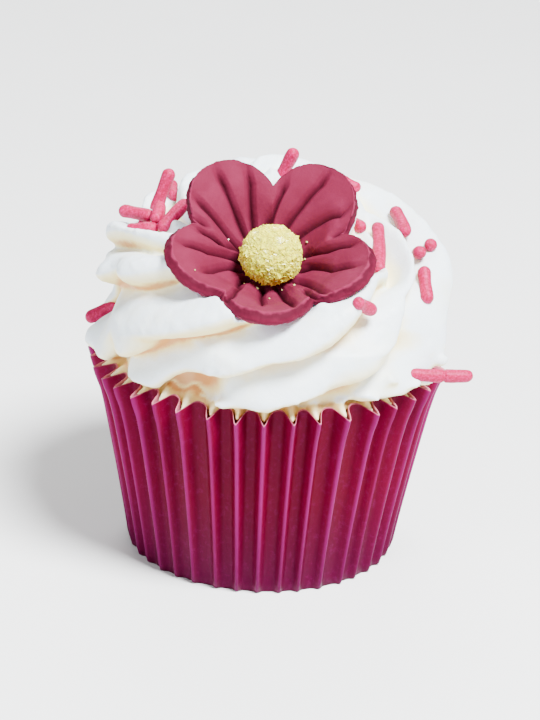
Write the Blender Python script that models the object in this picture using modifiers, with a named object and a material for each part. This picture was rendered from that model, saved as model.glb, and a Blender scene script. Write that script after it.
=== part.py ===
"""A small cupcake: pleated paper case, sponge, piped icing swirl with sprinkles, and a sugar flower.

The origin is the centre of the flat base, +Z is up and the flower leans towards -Y.
Driving sizes are in millimetres and become metres through MM.
"""

import math
import random

import bmesh
import bpy
from mathutils import Matrix, Vector

MM = 0.001
GAP = 0.3
WELD = 0.01
FULL_TURN = 2 * math.pi

# Paper case
PLEATS = 39
POINTS_PER_PLEAT = 4
CASE_HEIGHT = 27.7
CASE_TOP_RADIUS = 23.6
CASE_BASE_RADIUS = 18.05
CASE_FLARE = 1.1
CASE_CORNER = 0.8
CASE_CORNER_INSET = 0.5
PAPER = 0.45
RIM_PLEAT_DEPTH = 2.4
BASE_PLEAT_DEPTH = 1.1
RIM_DROP_AT_RIDGE = 0.8
RIM_DROP_FROM = 0.7
RIDGE_SHARPNESS = 2.6
FOOT_PLEAT_SHARE = 0.45
CASE_LEVELS = (1.0, 0.84, 0.6, 0.35, 0.14)

# Sponge
SPONGE_EDGE_HEIGHT = 25.9
SPONGE_DOME = 2.2
SPONGE_DOME_CURVE = 2.4
SPONGE_SHOULDER = 0.3
SPONGE_BASE_HEIGHT = 3.0
SPONGE_BASE_INSET = 1.2
SPONGE_TOP_SHARES = (0.0, 0.4, 0.7, 0.88)
SPONGE_SIDE_HEIGHTS = (18.0, 9.0, SPONGE_BASE_HEIGHT)
SPONGE_STEPS = 32

# Icing ring, the lower turn of the swirl
RING_RADIUS = 14.4
RING_HALF_WIDTH = 8.6
RING_HEIGHT = 35.6
RING_HALF_HEIGHT = 8.9
RING_SQUARENESS = 0.86
RING_UNDERSIDE_SQUARENESS = 0.45
RING_BACK_RISE = 2.0
RING_INNER_ANGLE = 125.0
RING_LOWEST_ANGLE = -64.0
RING_ROWS = 18
RING_UNDERSIDE_FADE = (-89.0, -50.0)
RING_HOLLOW_FADE = (95.0, 135.0)
RING_HOLLOW = 42.5
RING_UNDERSIDE = (19.2, 11.7)
RIM_CLEARANCE = 0.35

# Piped lobes: how far their crests stand out and droop over the groove below
LOBE_DEPTH = 3.6
LOBE_MEAN = 0.66
LOBE_SKEW = 2.0
LOBE_FULLNESS = 0.75
LOBE_DROOP = 1.3
LOBE_FULL_WIDTH = 34.0
LOBE_SHARES = (0.0, 0.14, 0.32, 0.5, 0.68, 0.82, 0.93)

# Each groove between two lobes is the azimuth, in degrees, at which it crosses these section angles
GROOVE_ANGLES = (-64.0, -35.0, -15.0, -6.0, -1.0, 1.0, 7.0, 15.0, 37.0, 62.0, 95.0, 125.0)
GROOVES = (
    (16.0, 29.0, 38.0, 43.0, 46.0, 48.0, 52.0, 57.0, 71.0, 90.0, 122.0, 150.0),
    (54.0, 66.0, 75.0, 80.0, 83.0, 85.0, 89.0, 93.0, 108.0, 127.0, 158.0, 188.0),
    (90.0, 101.0, 110.0, 115.0, 117.0, 119.0, 123.0, 127.0, 141.0, 160.0, 192.0, 222.0),
    (125.0, 136.0, 145.0, 150.0, 152.0, 154.0, 158.0, 162.0, 175.0, 192.0, 224.0, 255.0),
    (153.0, 161.0, 173.0, 179.0, 184.0, 187.0, 193.0, 200.0, 222.0, 234.0, 260.0, 290.0),
    (194.0, 206.0, 219.0, 225.0, 233.0, 236.0, 247.0, 256.0, 272.0, 292.0, 320.0, 350.0),
    (224.0, 234.0, 241.0, 247.0, 262.0, 285.0, 293.0, 298.0, 307.0, 318.0, 350.0, 380.0),
    (267.0, 272.0, 284.0, 311.0, 316.0, 318.0, 320.0, 322.0, 327.0, 345.0, 375.0, 405.0),
    (306.0, 324.0, 340.0, 345.0, 350.0, 352.0, 356.0, 360.0, 372.0, 388.0, 420.0, 450.0),
    (341.0, 355.0, 365.0, 370.0, 373.0, 375.0, 379.0, 384.0, 398.0, 416.0, 448.0, 476.0),
)

# Hand shaping of the ring: where, how wide, and which way its surface is pushed
SHAPING = (
    ((13.9, -7.0, 43.5), 5.0, (0.0, 0.0, -3.8)),
    ((-15.5, -0.5, 45.0), 4.5, (0.0, 0.0, -1.2)),
    ((-22.4, -1.0, 29.8), 3.4, (-2.9, 0.0, -0.5)),
    ((-22.8, -1.0, 35.0), 3.6, (4.2, 0.3, 0.6)),
    ((-22.0, 5.0, 35.0), 3.8, (4.2, 0.0, 0.0)),
    ((-21.9, -8.6, 39.4), 3.4, (2.4, 0.8, 0.4)),
    ((-21.4, 1.0, 41.0), 2.6, (-1.6, 0.0, 0.0)),
    ((-16.6, 8.6, 46.6), 4.4, (0.6, 0.0, -2.8)),
    ((-22.0, 3.6, 43.2), 3.0, (1.2, 0.0, -0.3)),
    ((20.0, 3.6, 45.0), 4.4, (-0.4, 0.0, -0.45)),
    ((23.2, -6.2, 38.2), 2.2, (-0.6, 0.0, 0.0)),
    ((22.2, -9.4, 32.4), 2.8, (0.7, 0.0, 0.0)),
    ((9.2, 8.6, 48.4), 4.0, (0.3, 0.0, 1.1)),
    ((-17.5, -13.5, 28.5), 3.6, (-1.2, -0.9, -0.6)),
    ((-20.6, -12.0, 29.2), 3.0, (1.6, 1.2, 2.2)),
    ((-8.6, -19.6, 29.2), 3.2, (1.1, 2.4, 0.2)),
    ((9.8, -21.1, 28.9), 3.2, (-0.8, 1.7, 0.3)),
)

# Icing coil, the upper turn that ends in the peak
COIL_TURNS = 1.3
COIL_START = 235.0
COIL_RADIUS = 7.6
COIL_CENTRE = Vector((-1.0, 2.5, 0.0))
COIL_BASE = 43.5
COIL_PEAK = 49.6
COIL_WIND = (0.15, 1.0)
COIL_THINNING = (0.35, 1.0)
COIL_OPENING = (-0.02, 0.1)
COIL_CLIMB = 1.4
COIL_END_RADIUS = 1.0
COIL_DRIFT = Vector((-0.4, 2.2, 0.0))
COIL_TIP = Vector((0.5, 0.6, 1.6))
COIL_THICKNESS = 5.4
COIL_TIP_THICKNESS = 1.6
COIL_START_SHARE = 0.35
COIL_STEPS = 32
COIL_SIDES = 16
COIL_LOBES = 6
COIL_LOBE_DEPTH = 0.16

# Sugar flower
PETAL_ANGLES = (-90.0, -19.5, 56.0, 131.0, 201.5)
PETAL_LENGTHS = (15.1, 15.6, 15.8, 16.05, 15.7)
PETAL_ROUNDS = (6.7, 6.6, 6.7, 6.8, 6.9)
PETAL_THICKNESS = 1.9
PETAL_EDGE = 0.97
PETAL_LIP = 0.945
PETAL_LIP_SWING = 0.03
EDGE_SWELL = 0.01
PETAL_HALF_ANGLE = 60.0
NOTCH_REACH = 9.0
FLOWER_AT = Vector((0.0, -8.4, 40.8))
FLOWER_TURN = -2.5
FLOWER_TILT = 31.0
FLOWER_CUP = 27.0
CUP_BEND = (0.0, 0.4)
CUP_RISE = (0.08, 0.78)
FLOWER_STEPS = 80
FLOWER_RINGS = 6
PRESS_GAP = 0.35
PRESS_HEIGHT = 16.0

# Flutes pressed in the flower: their angles at three shares of the way out, and the share where each ends
FLUTE_SHARES = (0.4, 0.6, 0.8)
FLUTES = (
    ((151.5, 150.7, 150.7), 1.02),
    ((131.3, 129.2, 128.0), 1.02),
    ((118.3, 113.6, 110.0), 1.02),
    ((106.0, 95.0, 85.5), 1.02),
    ((79.0, 67.5, 61.0), 1.02),
    ((56.5, 43.5, 34.0), 0.98),
    ((27.0, 10.0, 5.0), 0.98),
    ((-1.0, -16.0, -16.0), 0.92),
    ((-32.0, -41.0, -46.0), 1.02),
    ((-70.5, -72.5, -70.5), 0.96),
    ((-99.5, -94.0, -92.0), 0.84),
    ((-138.0, -123.5, -117.0), 1.02),
    ((193.0, 207.5, 214.5), 0.82),
    ((174.0, 185.5, 188.0), 0.96),
    ((154.0, 168.5, 170.0), 0.98),
)
FLUTE_HALF_WIDTH = 1.5
FLUTE_DEPTH = 1.15
FLUTE_START = (0.12, 0.34)
FLUTE_RUN_OUT = 0.22

# Sugar ball in the flower's centre
BALL_RADIUS = 3.8
BALL_SEAT = 0.5

# Sprinkles: both ends of each strand's middle line, placed by eye on the side that the flower faces
SPRINKLE_RADIUS = 0.87
SPRINKLE_SIDES = 6
SPRINKLE_BANDS = 3
SPRINKLES = (
    ((-15.7, 4.4, 44.2), (-13.7, 5.4, 50.2)),
    ((-20.2, 2.6, 45.1), (-15.6, 0.1, 45.2)),
    ((-19.0, -0.6, 43.6), (-14.9, -2.2, 44.6)),
    ((-14.8, 1.6, 46.7), (-15.4, -1.8, 45.3)),
    ((-11.2, 1.1, 47.3), (-14.6, -3.2, 44.6)),
    ((2.6, 4.2, 54.1), (0.7, 4.2, 49.8)),
    ((-24.3, 2.0, 29.7), (-19.9, 1.3, 32.5)),
    ((8.6, 9.5, 48.4), (11.5, 9.1, 47.0)),
    ((16.0, 5.9, 45.7), (17.5, -0.4, 44.5)),
    ((13.7, 0.3, 45.5), (13.9, -8.3, 41.9)),
    ((11.8, -1.8, 45.6), (9.2, 2.4, 45.0)),
    ((20.5, 2.0, 42.2), (20.6, -2.0, 43.8)),
    ((19.3, -0.5, 41.9), (19.3, -4.2, 43.5)),
    ((19.8, -5.1, 41.8), (20.4, -9.1, 38.3)),
    ((10.8, -20.5, 42.4), (13.3, -17.5, 40.1)),
    ((17.7, -13.3, 30.1), (26.6, -12.6, 29.9)),
)
SPRINKLE_PROUD = 0.4
BACK_SPRINKLES = 8
BACK_SPRINKLE_LOBES = (0.3, 2.1)
BACK_SPRINKLE_ANGLES = (0.0, 55.0)
BACK_SPRINKLE_JITTER = (0.2, 0.8)
LOBE_NUDGE = 0.05
ANGLE_NUDGE = 4.0
BACK_SPRINKLE_LENGTHS = (4.0, 7.0)
BACK_SPRINKLE_SEED = 11


def clear_scene():
    """Remove every object that the scene starts with."""
    for obj in list(bpy.data.objects):
        bpy.data.objects.remove(obj)


def new_collection(name, hidden=False):
    """Make a collection in the scene; a hidden one holds cutters."""
    group = bpy.data.collections.new(name)
    bpy.context.scene.collection.children.link(group)
    group.hide_render = hidden
    return group


def material(name, colour, roughness):
    """Make a Principled material of one colour."""
    made = bpy.data.materials.new(name)
    made.use_nodes = True
    shader = made.node_tree.nodes["Principled BSDF"]
    shader.inputs["Base Color"].default_value = (*colour, 1.0)
    shader.inputs["Roughness"].default_value = roughness
    shader.inputs["Metallic"].default_value = 0.0
    return made


def add_object(name, mesh, group, finish=None):
    """Link a mesh to a collection as a named object, shaded smooth."""
    obj = bpy.data.objects.new(name, mesh)
    group.objects.link(obj)
    if finish:
        mesh.materials.append(finish)
    mesh.shade_smooth()
    return obj


def smooth_step(low, high, value):
    """Rise from 0 at low to 1 at high with level ends."""
    share = min(1.0, max(0.0, (value - low) / (high - low)))
    return share * share * (3 - 2 * share)


def loft(name, sections, closed_start, closed_end):
    """Join sections, each a list of points in millimetres, into one closed mesh.

    closed_start and closed_end are the points that cap the first and the last section.
    """
    mesh = bpy.data.meshes.new(name)
    shape = bmesh.new()
    rows = [[shape.verts.new(Vector(point) * MM) for point in section] for section in sections]
    count = len(rows[0])
    for low, high in zip(rows, rows[1:]):
        for i in range(count):
            j = (i + 1) % count
            shape.faces.new((low[i], low[j], high[j], high[i]))
    first_point = shape.verts.new(Vector(closed_start) * MM)
    last_point = shape.verts.new(Vector(closed_end) * MM)
    for i in range(count):
        j = (i + 1) % count
        shape.faces.new((first_point, rows[0][j], rows[0][i]))
        shape.faces.new((last_point, rows[-1][i], rows[-1][j]))
    bmesh.ops.recalc_face_normals(shape, faces=shape.faces)
    shape.to_mesh(mesh)
    shape.free()
    return mesh


def turned(name, profile, steps, group, finish):
    """Turn a profile of (radius, height) points round Z with a Screw modifier."""
    mesh = bpy.data.meshes.new(name)
    points = [(radius * MM, 0.0, height * MM) for radius, height in profile]
    off_axis = [i for i in range(len(points) - 1) if profile[i][0] or profile[i + 1][0]]
    mesh.from_pydata(points, [(i, i + 1) for i in off_axis], [])
    obj = add_object(name, mesh, group, finish)
    screw = obj.modifiers.new("Turn", "SCREW")
    screw.steps = screw.render_steps = steps
    screw.use_merge_vertices = True
    screw.merge_threshold = WELD * MM
    return obj


def evaluated_mesh(obj):
    """Return a new mesh of the object with its modifiers applied."""
    graph = bpy.context.evaluated_depsgraph_get()
    return bpy.data.meshes.new_from_object(obj.evaluated_get(graph))


def ridge_radius(height):
    """Radius of the case's outward folds at a height."""
    share = min(1.0, max(0.0, height / CASE_HEIGHT))
    return CASE_BASE_RADIUS + (CASE_TOP_RADIUS - CASE_BASE_RADIUS) * share**CASE_FLARE


def pleat_depth(height):
    """How far the inward folds lie inside the outward ones at a height."""
    share = min(1.0, max(0.0, height / CASE_HEIGHT))
    return BASE_PLEAT_DEPTH + (RIM_PLEAT_DEPTH - BASE_PLEAT_DEPTH) * share


def case_profile():
    """Outer wall from the rim down to the base's centre, then the inner wall back up."""
    outer = [(ridge_radius(CASE_HEIGHT * s), CASE_HEIGHT * s) for s in CASE_LEVELS]
    corner = ridge_radius(CASE_CORNER)
    outer += [(corner, CASE_CORNER), (corner - CASE_CORNER_INSET, 0.0), (0.0, 0.0)]
    inner = [(max(0.0, r - PAPER), max(z, PAPER)) for r, z in reversed(outer)]
    inner[-1] = (inner[-1][0], CASE_HEIGHT)
    return [inner[-1], *outer, *inner]


def pleated(mesh):
    """Push the turned wall in between its outward folds, and drop the rim at each of them."""
    for vert in mesh.vertices:
        place = vert.co / MM
        radius = math.hypot(place.x, place.y)
        if radius < CASE_BASE_RADIUS * 0.5:
            continue
        angle = math.atan2(place.y, place.x)
        wave = (1 + math.cos(PLEATS * (angle + math.pi / 2))) / 2
        outward = wave**RIDGE_SHARPNESS
        fade = FOOT_PLEAT_SHARE + (1 - FOOT_PLEAT_SHARE) * smooth_step(0.0, CASE_CORNER, place.z)
        radius -= pleat_depth(place.z) * (1 - outward) * fade
        drop = RIM_DROP_AT_RIDGE * outward * smooth_step(RIM_DROP_FROM, 1.0, place.z / CASE_HEIGHT)
        vert.co = Vector((radius * math.cos(angle), radius * math.sin(angle), place.z - drop)) * MM


def build_case(group):
    """The pleated paper case, open at the top and standing on its flat base."""
    finish = material("case_paper", (0.42, 0.02, 0.13), 0.6)
    draft = turned("draft_case", case_profile(), PLEATS * POINTS_PER_PLEAT, group, None)
    mesh = evaluated_mesh(draft)
    bpy.data.objects.remove(draft)
    pleated(mesh)
    shape = bmesh.new()
    shape.from_mesh(mesh)
    bmesh.ops.remove_doubles(shape, verts=shape.verts, dist=WELD * MM)
    bmesh.ops.recalc_face_normals(shape, faces=shape.faces)
    shape.to_mesh(mesh)
    shape.free()
    return add_object("paper_case", mesh, group, finish)


def sponge_radius(height):
    """Radius of the sponge, just inside the case's inward folds."""
    return ridge_radius(height) - pleat_depth(height) - PAPER - GAP


def sponge_top(radius):
    """Height of the sponge's domed top at a radius."""
    share = min(1.0, radius / sponge_radius(SPONGE_EDGE_HEIGHT))
    return SPONGE_EDGE_HEIGHT + SPONGE_DOME * (1 - share**SPONGE_DOME_CURVE)


def build_sponge(group):
    """The sponge that fills the case, with a low domed top."""
    finish = material("sponge", (0.72, 0.45, 0.2), 0.8)
    edge = sponge_radius(SPONGE_EDGE_HEIGHT)
    profile = [(edge * share, sponge_top(edge * share)) for share in SPONGE_TOP_SHARES]
    profile += [(edge, SPONGE_EDGE_HEIGHT - SPONGE_SHOULDER)]
    profile += [(sponge_radius(height), height) for height in SPONGE_SIDE_HEIGHTS]
    floor = PAPER + GAP
    profile += [(sponge_radius(SPONGE_BASE_HEIGHT) - SPONGE_BASE_INSET, floor), (0.0, floor)]
    return turned("sponge", profile, SPONGE_STEPS, group, finish)


def groove_azimuth(number, angle):
    """Azimuth of a groove, counted on past one turn, where it crosses a section angle."""
    turns, index = divmod(number, len(GROOVES))
    groove = GROOVES[index]
    last = len(GROOVE_ANGLES) - 2
    k = min(last, max(0, sum(angle > limit for limit in GROOVE_ANGLES) - 1))
    share = (angle - GROOVE_ANGLES[k]) / (GROOVE_ANGLES[k + 1] - GROOVE_ANGLES[k])
    return 360.0 * turns + groove[k] + (groove[k + 1] - groove[k]) * share


def ring_point(lobe, angle):
    """A point of the ring's surface, in millimetres.

    The whole part of lobe is the groove that it starts from and the rest its share of the way to the
    next one. angle goes round the ring's section, in degrees, from outward through up to inward.
    """
    number = math.floor(lobe)
    share = lobe - number
    low, high = groove_azimuth(number, angle), groove_azimuth(number + 1, angle)
    azimuth = math.radians(low + (high - low) * share)
    full = min(1.0, (high - low) / LOBE_FULL_WIDTH)
    relief = full * math.sin(math.pi * share**LOBE_SKEW) ** LOBE_FULLNESS
    fade = smooth_step(*RING_UNDERSIDE_FADE, angle) * (1 - smooth_step(*RING_HOLLOW_FADE, angle))
    swell = LOBE_DEPTH * (relief - LOBE_MEAN) * fade
    droop = LOBE_DROOP * relief * fade
    section = math.radians(angle)
    square = RING_UNDERSIDE_SQUARENESS if section < 0 else RING_SQUARENESS
    across = math.copysign(abs(math.cos(section)) ** square, math.cos(section))
    upward = math.copysign(abs(math.sin(section)) ** square, math.sin(section))
    rise = RING_BACK_RISE * (1 + math.sin(azimuth)) / 4
    radius = RING_RADIUS + (RING_HALF_WIDTH + swell) * across + droop * math.sin(section)
    height = RING_HEIGHT + rise + (RING_HALF_HEIGHT + rise + swell) * upward - droop * math.cos(section)
    point = Vector((radius * math.cos(azimuth), radius * math.sin(azimuth), height))
    pushes = [
        Vector(push) * math.exp(-(((point - Vector(centre)).length / size) ** 2))
        for centre, size, push in SHAPING
    ]
    return sum(pushes, point)


def icing_floor(radius):
    """Lowest height of the icing at a radius: over the sponge, and over the case's rim outside it."""
    if radius < sponge_radius(SPONGE_EDGE_HEIGHT) - GAP:
        return sponge_top(radius) + GAP
    return CASE_HEIGHT + RIM_CLEARANCE


def ring_row(angle):
    """One closed row of the ring's surface at a section angle, with columns that follow the lobes."""
    row = []
    for number in range(len(GROOVES)):
        for share in LOBE_SHARES:
            point = ring_point(number + share, angle)
            point.z = max(point.z, icing_floor(math.hypot(point.x, point.y)))
            row.append(point)
    return row


def level_row(row, radius, height):
    """A circle at one height with its points in the directions of a row's points."""
    return [Vector((*(point.xy.normalized() * radius), height)) for point in row]


def build_ring(group):
    """The lower turn of the swirl, with lobes that climb and sweep round it."""
    span = RING_INNER_ANGLE - RING_LOWEST_ANGLE
    rows = [ring_row(RING_INNER_ANGLE - span * i / (RING_ROWS - 1)) for i in range(RING_ROWS)]
    inner = min(point.xy.length for point in rows[0])
    rows.insert(0, level_row(rows[0], inner / 2, RING_HOLLOW))
    for radius in RING_UNDERSIDE:
        rows.append(level_row(rows[-1], radius, icing_floor(radius)))
    mesh = loft("icing_ring", rows, (0, 0, RING_HOLLOW), (0, 0, icing_floor(0)))
    return add_object("icing_ring", mesh, group)


def coil_sections():
    """Star sections along the upper turn, which winds inwards and up to the peak."""
    sections = []
    for i in range(COIL_STEPS + 1):
        share = i / COIL_STEPS
        turn = math.radians(COIL_START + 360.0 * COIL_TURNS * share)
        wind = smooth_step(*COIL_WIND, share)
        radius = COIL_RADIUS + (COIL_END_RADIUS - COIL_RADIUS) * wind
        height = COIL_BASE + (COIL_PEAK - COIL_BASE) * share**COIL_CLIMB
        thick = COIL_THICKNESS + (COIL_TIP_THICKNESS - COIL_THICKNESS) * smooth_step(*COIL_THINNING, share)
        thick *= COIL_START_SHARE + (1 - COIL_START_SHARE) * smooth_step(*COIL_OPENING, share)
        outward = Vector((math.cos(turn), math.sin(turn), 0))
        centre = COIL_CENTRE + outward * radius + Vector((0, 0, height)) + COIL_DRIFT * wind
        section = []
        for k in range(COIL_SIDES):
            side = FULL_TURN * k / COIL_SIDES
            crest = abs(math.cos(0.5 * COIL_LOBES * (side - turn)))
            reach = thick * (1 - COIL_LOBE_DEPTH + 2 * COIL_LOBE_DEPTH * crest)
            section.append(centre + (outward * math.cos(side) + Vector((0, 0, math.sin(side)))) * reach)
        sections.append(section)
    return sections


def build_coil(group):
    """The upper turn of the swirl with its peak."""
    sections = coil_sections()
    start = sum(sections[0], Vector()) / COIL_SIDES
    peak = sum(sections[-1], Vector()) / COIL_SIDES + COIL_TIP
    mesh = loft("icing_coil", sections, start, peak)
    return add_object("icing_coil", mesh, group)


def flower_matrix():
    """Place of the flower: local Z is its axis, local Y points up the far petals."""
    tilt = Matrix.Rotation(math.radians(FLOWER_TILT), 4, "X")
    turn = Matrix.Rotation(math.radians(FLOWER_TURN), 4, "Z")
    return Matrix.Translation(FLOWER_AT) @ tilt @ turn


def petal_offset(angle, petal):
    """Signed angle, in radians, from the middle of a petal."""
    return (angle - math.radians(PETAL_ANGLES[petal]) + math.pi) % FULL_TURN - math.pi


def petal_reach(angle):
    """Length of the flower's outline in a direction, in radians from local +X."""
    longest = 0.0
    for petal, (length, rounding) in enumerate(zip(PETAL_LENGTHS, PETAL_ROUNDS)):
        offset = petal_offset(angle, petal)
        centre = length - rounding
        inside = rounding**2 - (centre * math.sin(offset)) ** 2
        if abs(offset) < math.radians(PETAL_HALF_ANGLE) and inside > 0:
            longest = max(longest, centre * math.cos(offset) + math.sqrt(inside))
    return longest or NOTCH_REACH


def groove_depth(angle, share):
    """Depth of the fluted grooves at an angle and a share of the petal's length."""
    deepest = 0.0
    for headings, end in FLUTES:
        low, middle, high = headings
        if share < FLUTE_SHARES[1]:
            step = min(1.0, max(0.0, (share - FLUTE_SHARES[0]) / (FLUTE_SHARES[1] - FLUTE_SHARES[0])))
            heading = low + (middle - low) * step
        else:
            step = min(1.0, (share - FLUTE_SHARES[1]) / (FLUTE_SHARES[2] - FLUTE_SHARES[1]))
            heading = middle + (high - middle) * step
        offset = (angle - math.radians(heading) + math.pi) % FULL_TURN - math.pi
        away = abs(offset) * petal_reach(angle) * share
        sharp = max(0.0, 1 - away / FLUTE_HALF_WIDTH)
        deepest = max(deepest, sharp * (1 - smooth_step(end - FLUTE_RUN_OUT, end, share)))
    return FLUTE_DEPTH * deepest * smooth_step(*FLUTE_START, share)


def flower_surface(angle, share, lift, grown=0.0):
    """A point on the flower, where lift is the distance above its underside along its axis."""
    reach = (petal_reach(angle) + grown) * share
    cup = math.radians(FLOWER_CUP)
    run = reach * math.cos(cup * smooth_step(*CUP_BEND, share))
    rise = reach * math.sin(cup) * smooth_step(*CUP_RISE, share)
    return Vector((run * math.cos(angle), run * math.sin(angle), rise + lift))


def flower_mesh(name, thickness, grown=0.0, grooved=True):
    """The flower as one closed mesh: an underside, a rounded edge and a face.

    grown makes the same shape larger by a clearance, for the hollow that it presses in the icing.
    """
    place = flower_matrix()
    shares = [(i + 1) / FLOWER_RINGS for i in range(FLOWER_RINGS)]
    angles = [FULL_TURN * i / FLOWER_STEPS for i in range(FLOWER_STEPS)]
    rows = []
    for share in shares[:-1]:
        rows.append([flower_surface(a, share, -grown, grown) for a in angles])
    edge = 1.0 if grown else PETAL_EDGE
    rows.append([flower_surface(a, edge, -grown, grown) for a in angles])
    rows.append([flower_surface(a, 1.0 + grown * EDGE_SWELL, PETAL_THICKNESS * 0.5, grown) for a in angles])
    lips = [1.0 if grown else PETAL_LIP + PETAL_LIP_SWING * math.sin(a) for a in angles]
    rows.append([flower_surface(a, lip, thickness, grown) for a, lip in zip(angles, lips)])
    for share in reversed(shares[:-1]):
        row = []
        for a in angles:
            depth = groove_depth(a, share) if grooved else 0.0
            row.append(flower_surface(a, share, thickness - depth, grown))
        rows.append(row)
    start = flower_surface(0, 0, -grown)
    end = flower_surface(0, 0, thickness)
    rows = [[place @ point for point in row] for row in rows]
    return loft(name, rows, place @ start, place @ end)


def sprinkle(start, end, group):
    """One sugar strand: a small ball whose halves are pulled apart along the strand."""
    start, end = Vector(start), Vector(end)
    half = (end - start).length / 2 - SPRINKLE_RADIUS
    shape = bmesh.new()
    bmesh.ops.create_uvsphere(
        shape, u_segments=SPRINKLE_SIDES, v_segments=SPRINKLE_BANDS, radius=SPRINKLE_RADIUS
    )
    for vert in shape.verts:
        vert.co.z += math.copysign(half, vert.co.z)
    turn = (end - start).to_track_quat("Z", "Y").to_matrix().to_4x4()
    place = Matrix.Translation((start + end) / 2) @ turn
    shape.transform(Matrix.Scale(MM, 4) @ place)
    mesh = bpy.data.meshes.new("sprinkle")
    shape.to_mesh(mesh)
    shape.free()
    return add_object("sprinkle", mesh, group)


def back_sprinkles():
    """Ends of the strands on the far side, spread over the ring by a seeded rule."""
    chance = random.Random(BACK_SPRINKLE_SEED)
    low, high = BACK_SPRINKLE_LOBES
    ends = []
    for k in range(BACK_SPRINKLES):
        lobe = low + (high - low) * (k + chance.uniform(*BACK_SPRINKLE_JITTER)) / BACK_SPRINKLES
        angle = chance.uniform(*BACK_SPRINKLE_ANGLES)
        here = ring_point(lobe, angle)
        around = (ring_point(lobe + LOBE_NUDGE, angle) - here).normalized()
        upward = (ring_point(lobe, angle + ANGLE_NUDGE) - here).normalized()
        heading = chance.uniform(0, math.pi)
        along = around * math.cos(heading) + upward * math.sin(heading)
        half = along.normalized() * chance.uniform(*BACK_SPRINKLE_LENGTHS) / 2
        centre = here + around.cross(upward).normalized() * SPRINKLE_PROUD
        ends.append((centre - half, centre + half))
    return ends


def combined(name, pieces, group, finish):
    """Union closed pieces that overlap into one solid, and drop the pieces."""
    first, rest = pieces[0], pieces[1:]
    others = new_collection("pieces_of_" + name, hidden=True)
    for piece in rest:
        for owner in list(piece.users_collection):
            owner.objects.unlink(piece)
        others.objects.link(piece)
    union = first.modifiers.new("Union", "BOOLEAN")
    union.operation = "UNION"
    union.operand_type = "COLLECTION"
    union.collection = others
    union.solver = "MANIFOLD"
    mesh = evaluated_mesh(first)
    for piece in [first, *list(others.objects)]:
        bpy.data.objects.remove(piece)
    bpy.data.collections.remove(others)
    made = add_object(name, mesh, group)
    made.data.materials.clear()
    made.data.materials.append(finish)
    return made


def largest_island(mesh):
    """Keep the largest connected body of a mesh: scraps and the walls of sealed hollows go."""
    shape = bmesh.new()
    shape.from_mesh(mesh)
    left = set(shape.verts)
    islands = []
    while left:
        front = [left.pop()]
        island = set(front)
        while front:
            for edge in front.pop().link_edges:
                for vert in edge.verts:
                    if vert in left:
                        left.discard(vert)
                        island.add(vert)
                        front.append(vert)
        islands.append(island)
    islands.sort(key=len)
    for island in islands[:-1]:
        bmesh.ops.delete(shape, geom=list(island), context="VERTS")
    shape.to_mesh(mesh)
    shape.free()


def cut_away(obj, cutter):
    """Cut one closed body out of a solid and drop the cutter."""
    cut = obj.modifiers.new("Cut", "BOOLEAN")
    cut.operation = "DIFFERENCE"
    cut.object = cutter
    cut.solver = "MANIFOLD"
    mesh = evaluated_mesh(obj)
    obj.modifiers.remove(cut)
    bpy.data.objects.remove(cutter)
    obj.data = mesh


def build_icing(group):
    """The icing swirl: the ring, the coil and the sprinkles as one solid, pressed in by the flower."""
    finish = material("buttercream", (0.86, 0.84, 0.76), 0.45)
    strands = [sprinkle(start, end, group) for start, end in [*SPRINKLES, *back_sprinkles()]]
    icing = combined("icing", [build_ring(group), build_coil(group), *strands], group, finish)
    press = add_object("press", flower_mesh("press", PRESS_HEIGHT, grown=PRESS_GAP, grooved=False), group)
    cut_away(icing, press)
    largest_island(icing.data)
    return icing


def build_flower(group):
    """The five-petalled sugar flower that leans on the swirl."""
    finish = material("sugar_paste", (0.45, 0.11, 0.17), 0.65)
    return add_object("flower", flower_mesh("flower", PETAL_THICKNESS), group, finish)


def build_ball(group):
    """The sugared ball that sits in the flower's centre."""
    finish = material("sugar_ball", (0.85, 0.68, 0.28), 0.5)
    shape = bmesh.new()
    bmesh.ops.create_icosphere(shape, subdivisions=3, radius=BALL_RADIUS)
    floor = -BALL_RADIUS * BALL_SEAT
    for vert in shape.verts:
        vert.co.z = max(vert.co.z, floor)
    mesh = bpy.data.meshes.new("flower_centre")
    shape.to_mesh(mesh)
    shape.free()
    seat = BALL_RADIUS * math.sqrt(1 - BALL_SEAT**2)
    lift = flower_surface(0.0, seat / petal_reach(0.0), PETAL_THICKNESS).z + GAP - floor
    place = flower_matrix() @ Matrix.Translation((0, 0, lift))
    mesh.transform(Matrix.Scale(MM, 4) @ place)
    return add_object("flower_centre", mesh, group, finish)


def main():
    """Build every piece of the cupcake."""
    clear_scene()
    cupcake = new_collection("cupcake")
    build_case(cupcake)
    build_sponge(cupcake)
    build_icing(cupcake)
    build_flower(cupcake)
    build_ball(cupcake)


main()
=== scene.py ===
"""The looks of a small cupcake: its case, sponge, piped icing, sugar strands, sugar flower and ball.

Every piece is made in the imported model's frame: +Z is up, the origin is the centre of the flat base and
-Y is the side that the flower leans to. Sizes are in millimetres and become metres through MM.
"""

import logging
import math
import random
from dataclasses import dataclass
from enum import Enum

import bmesh
import bpy
import numpy as np
from mathutils import Matrix, Quaternion, Vector, noise
from mathutils.bvhtree import BVHTree
from mathutils.kdtree import KDTree


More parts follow.
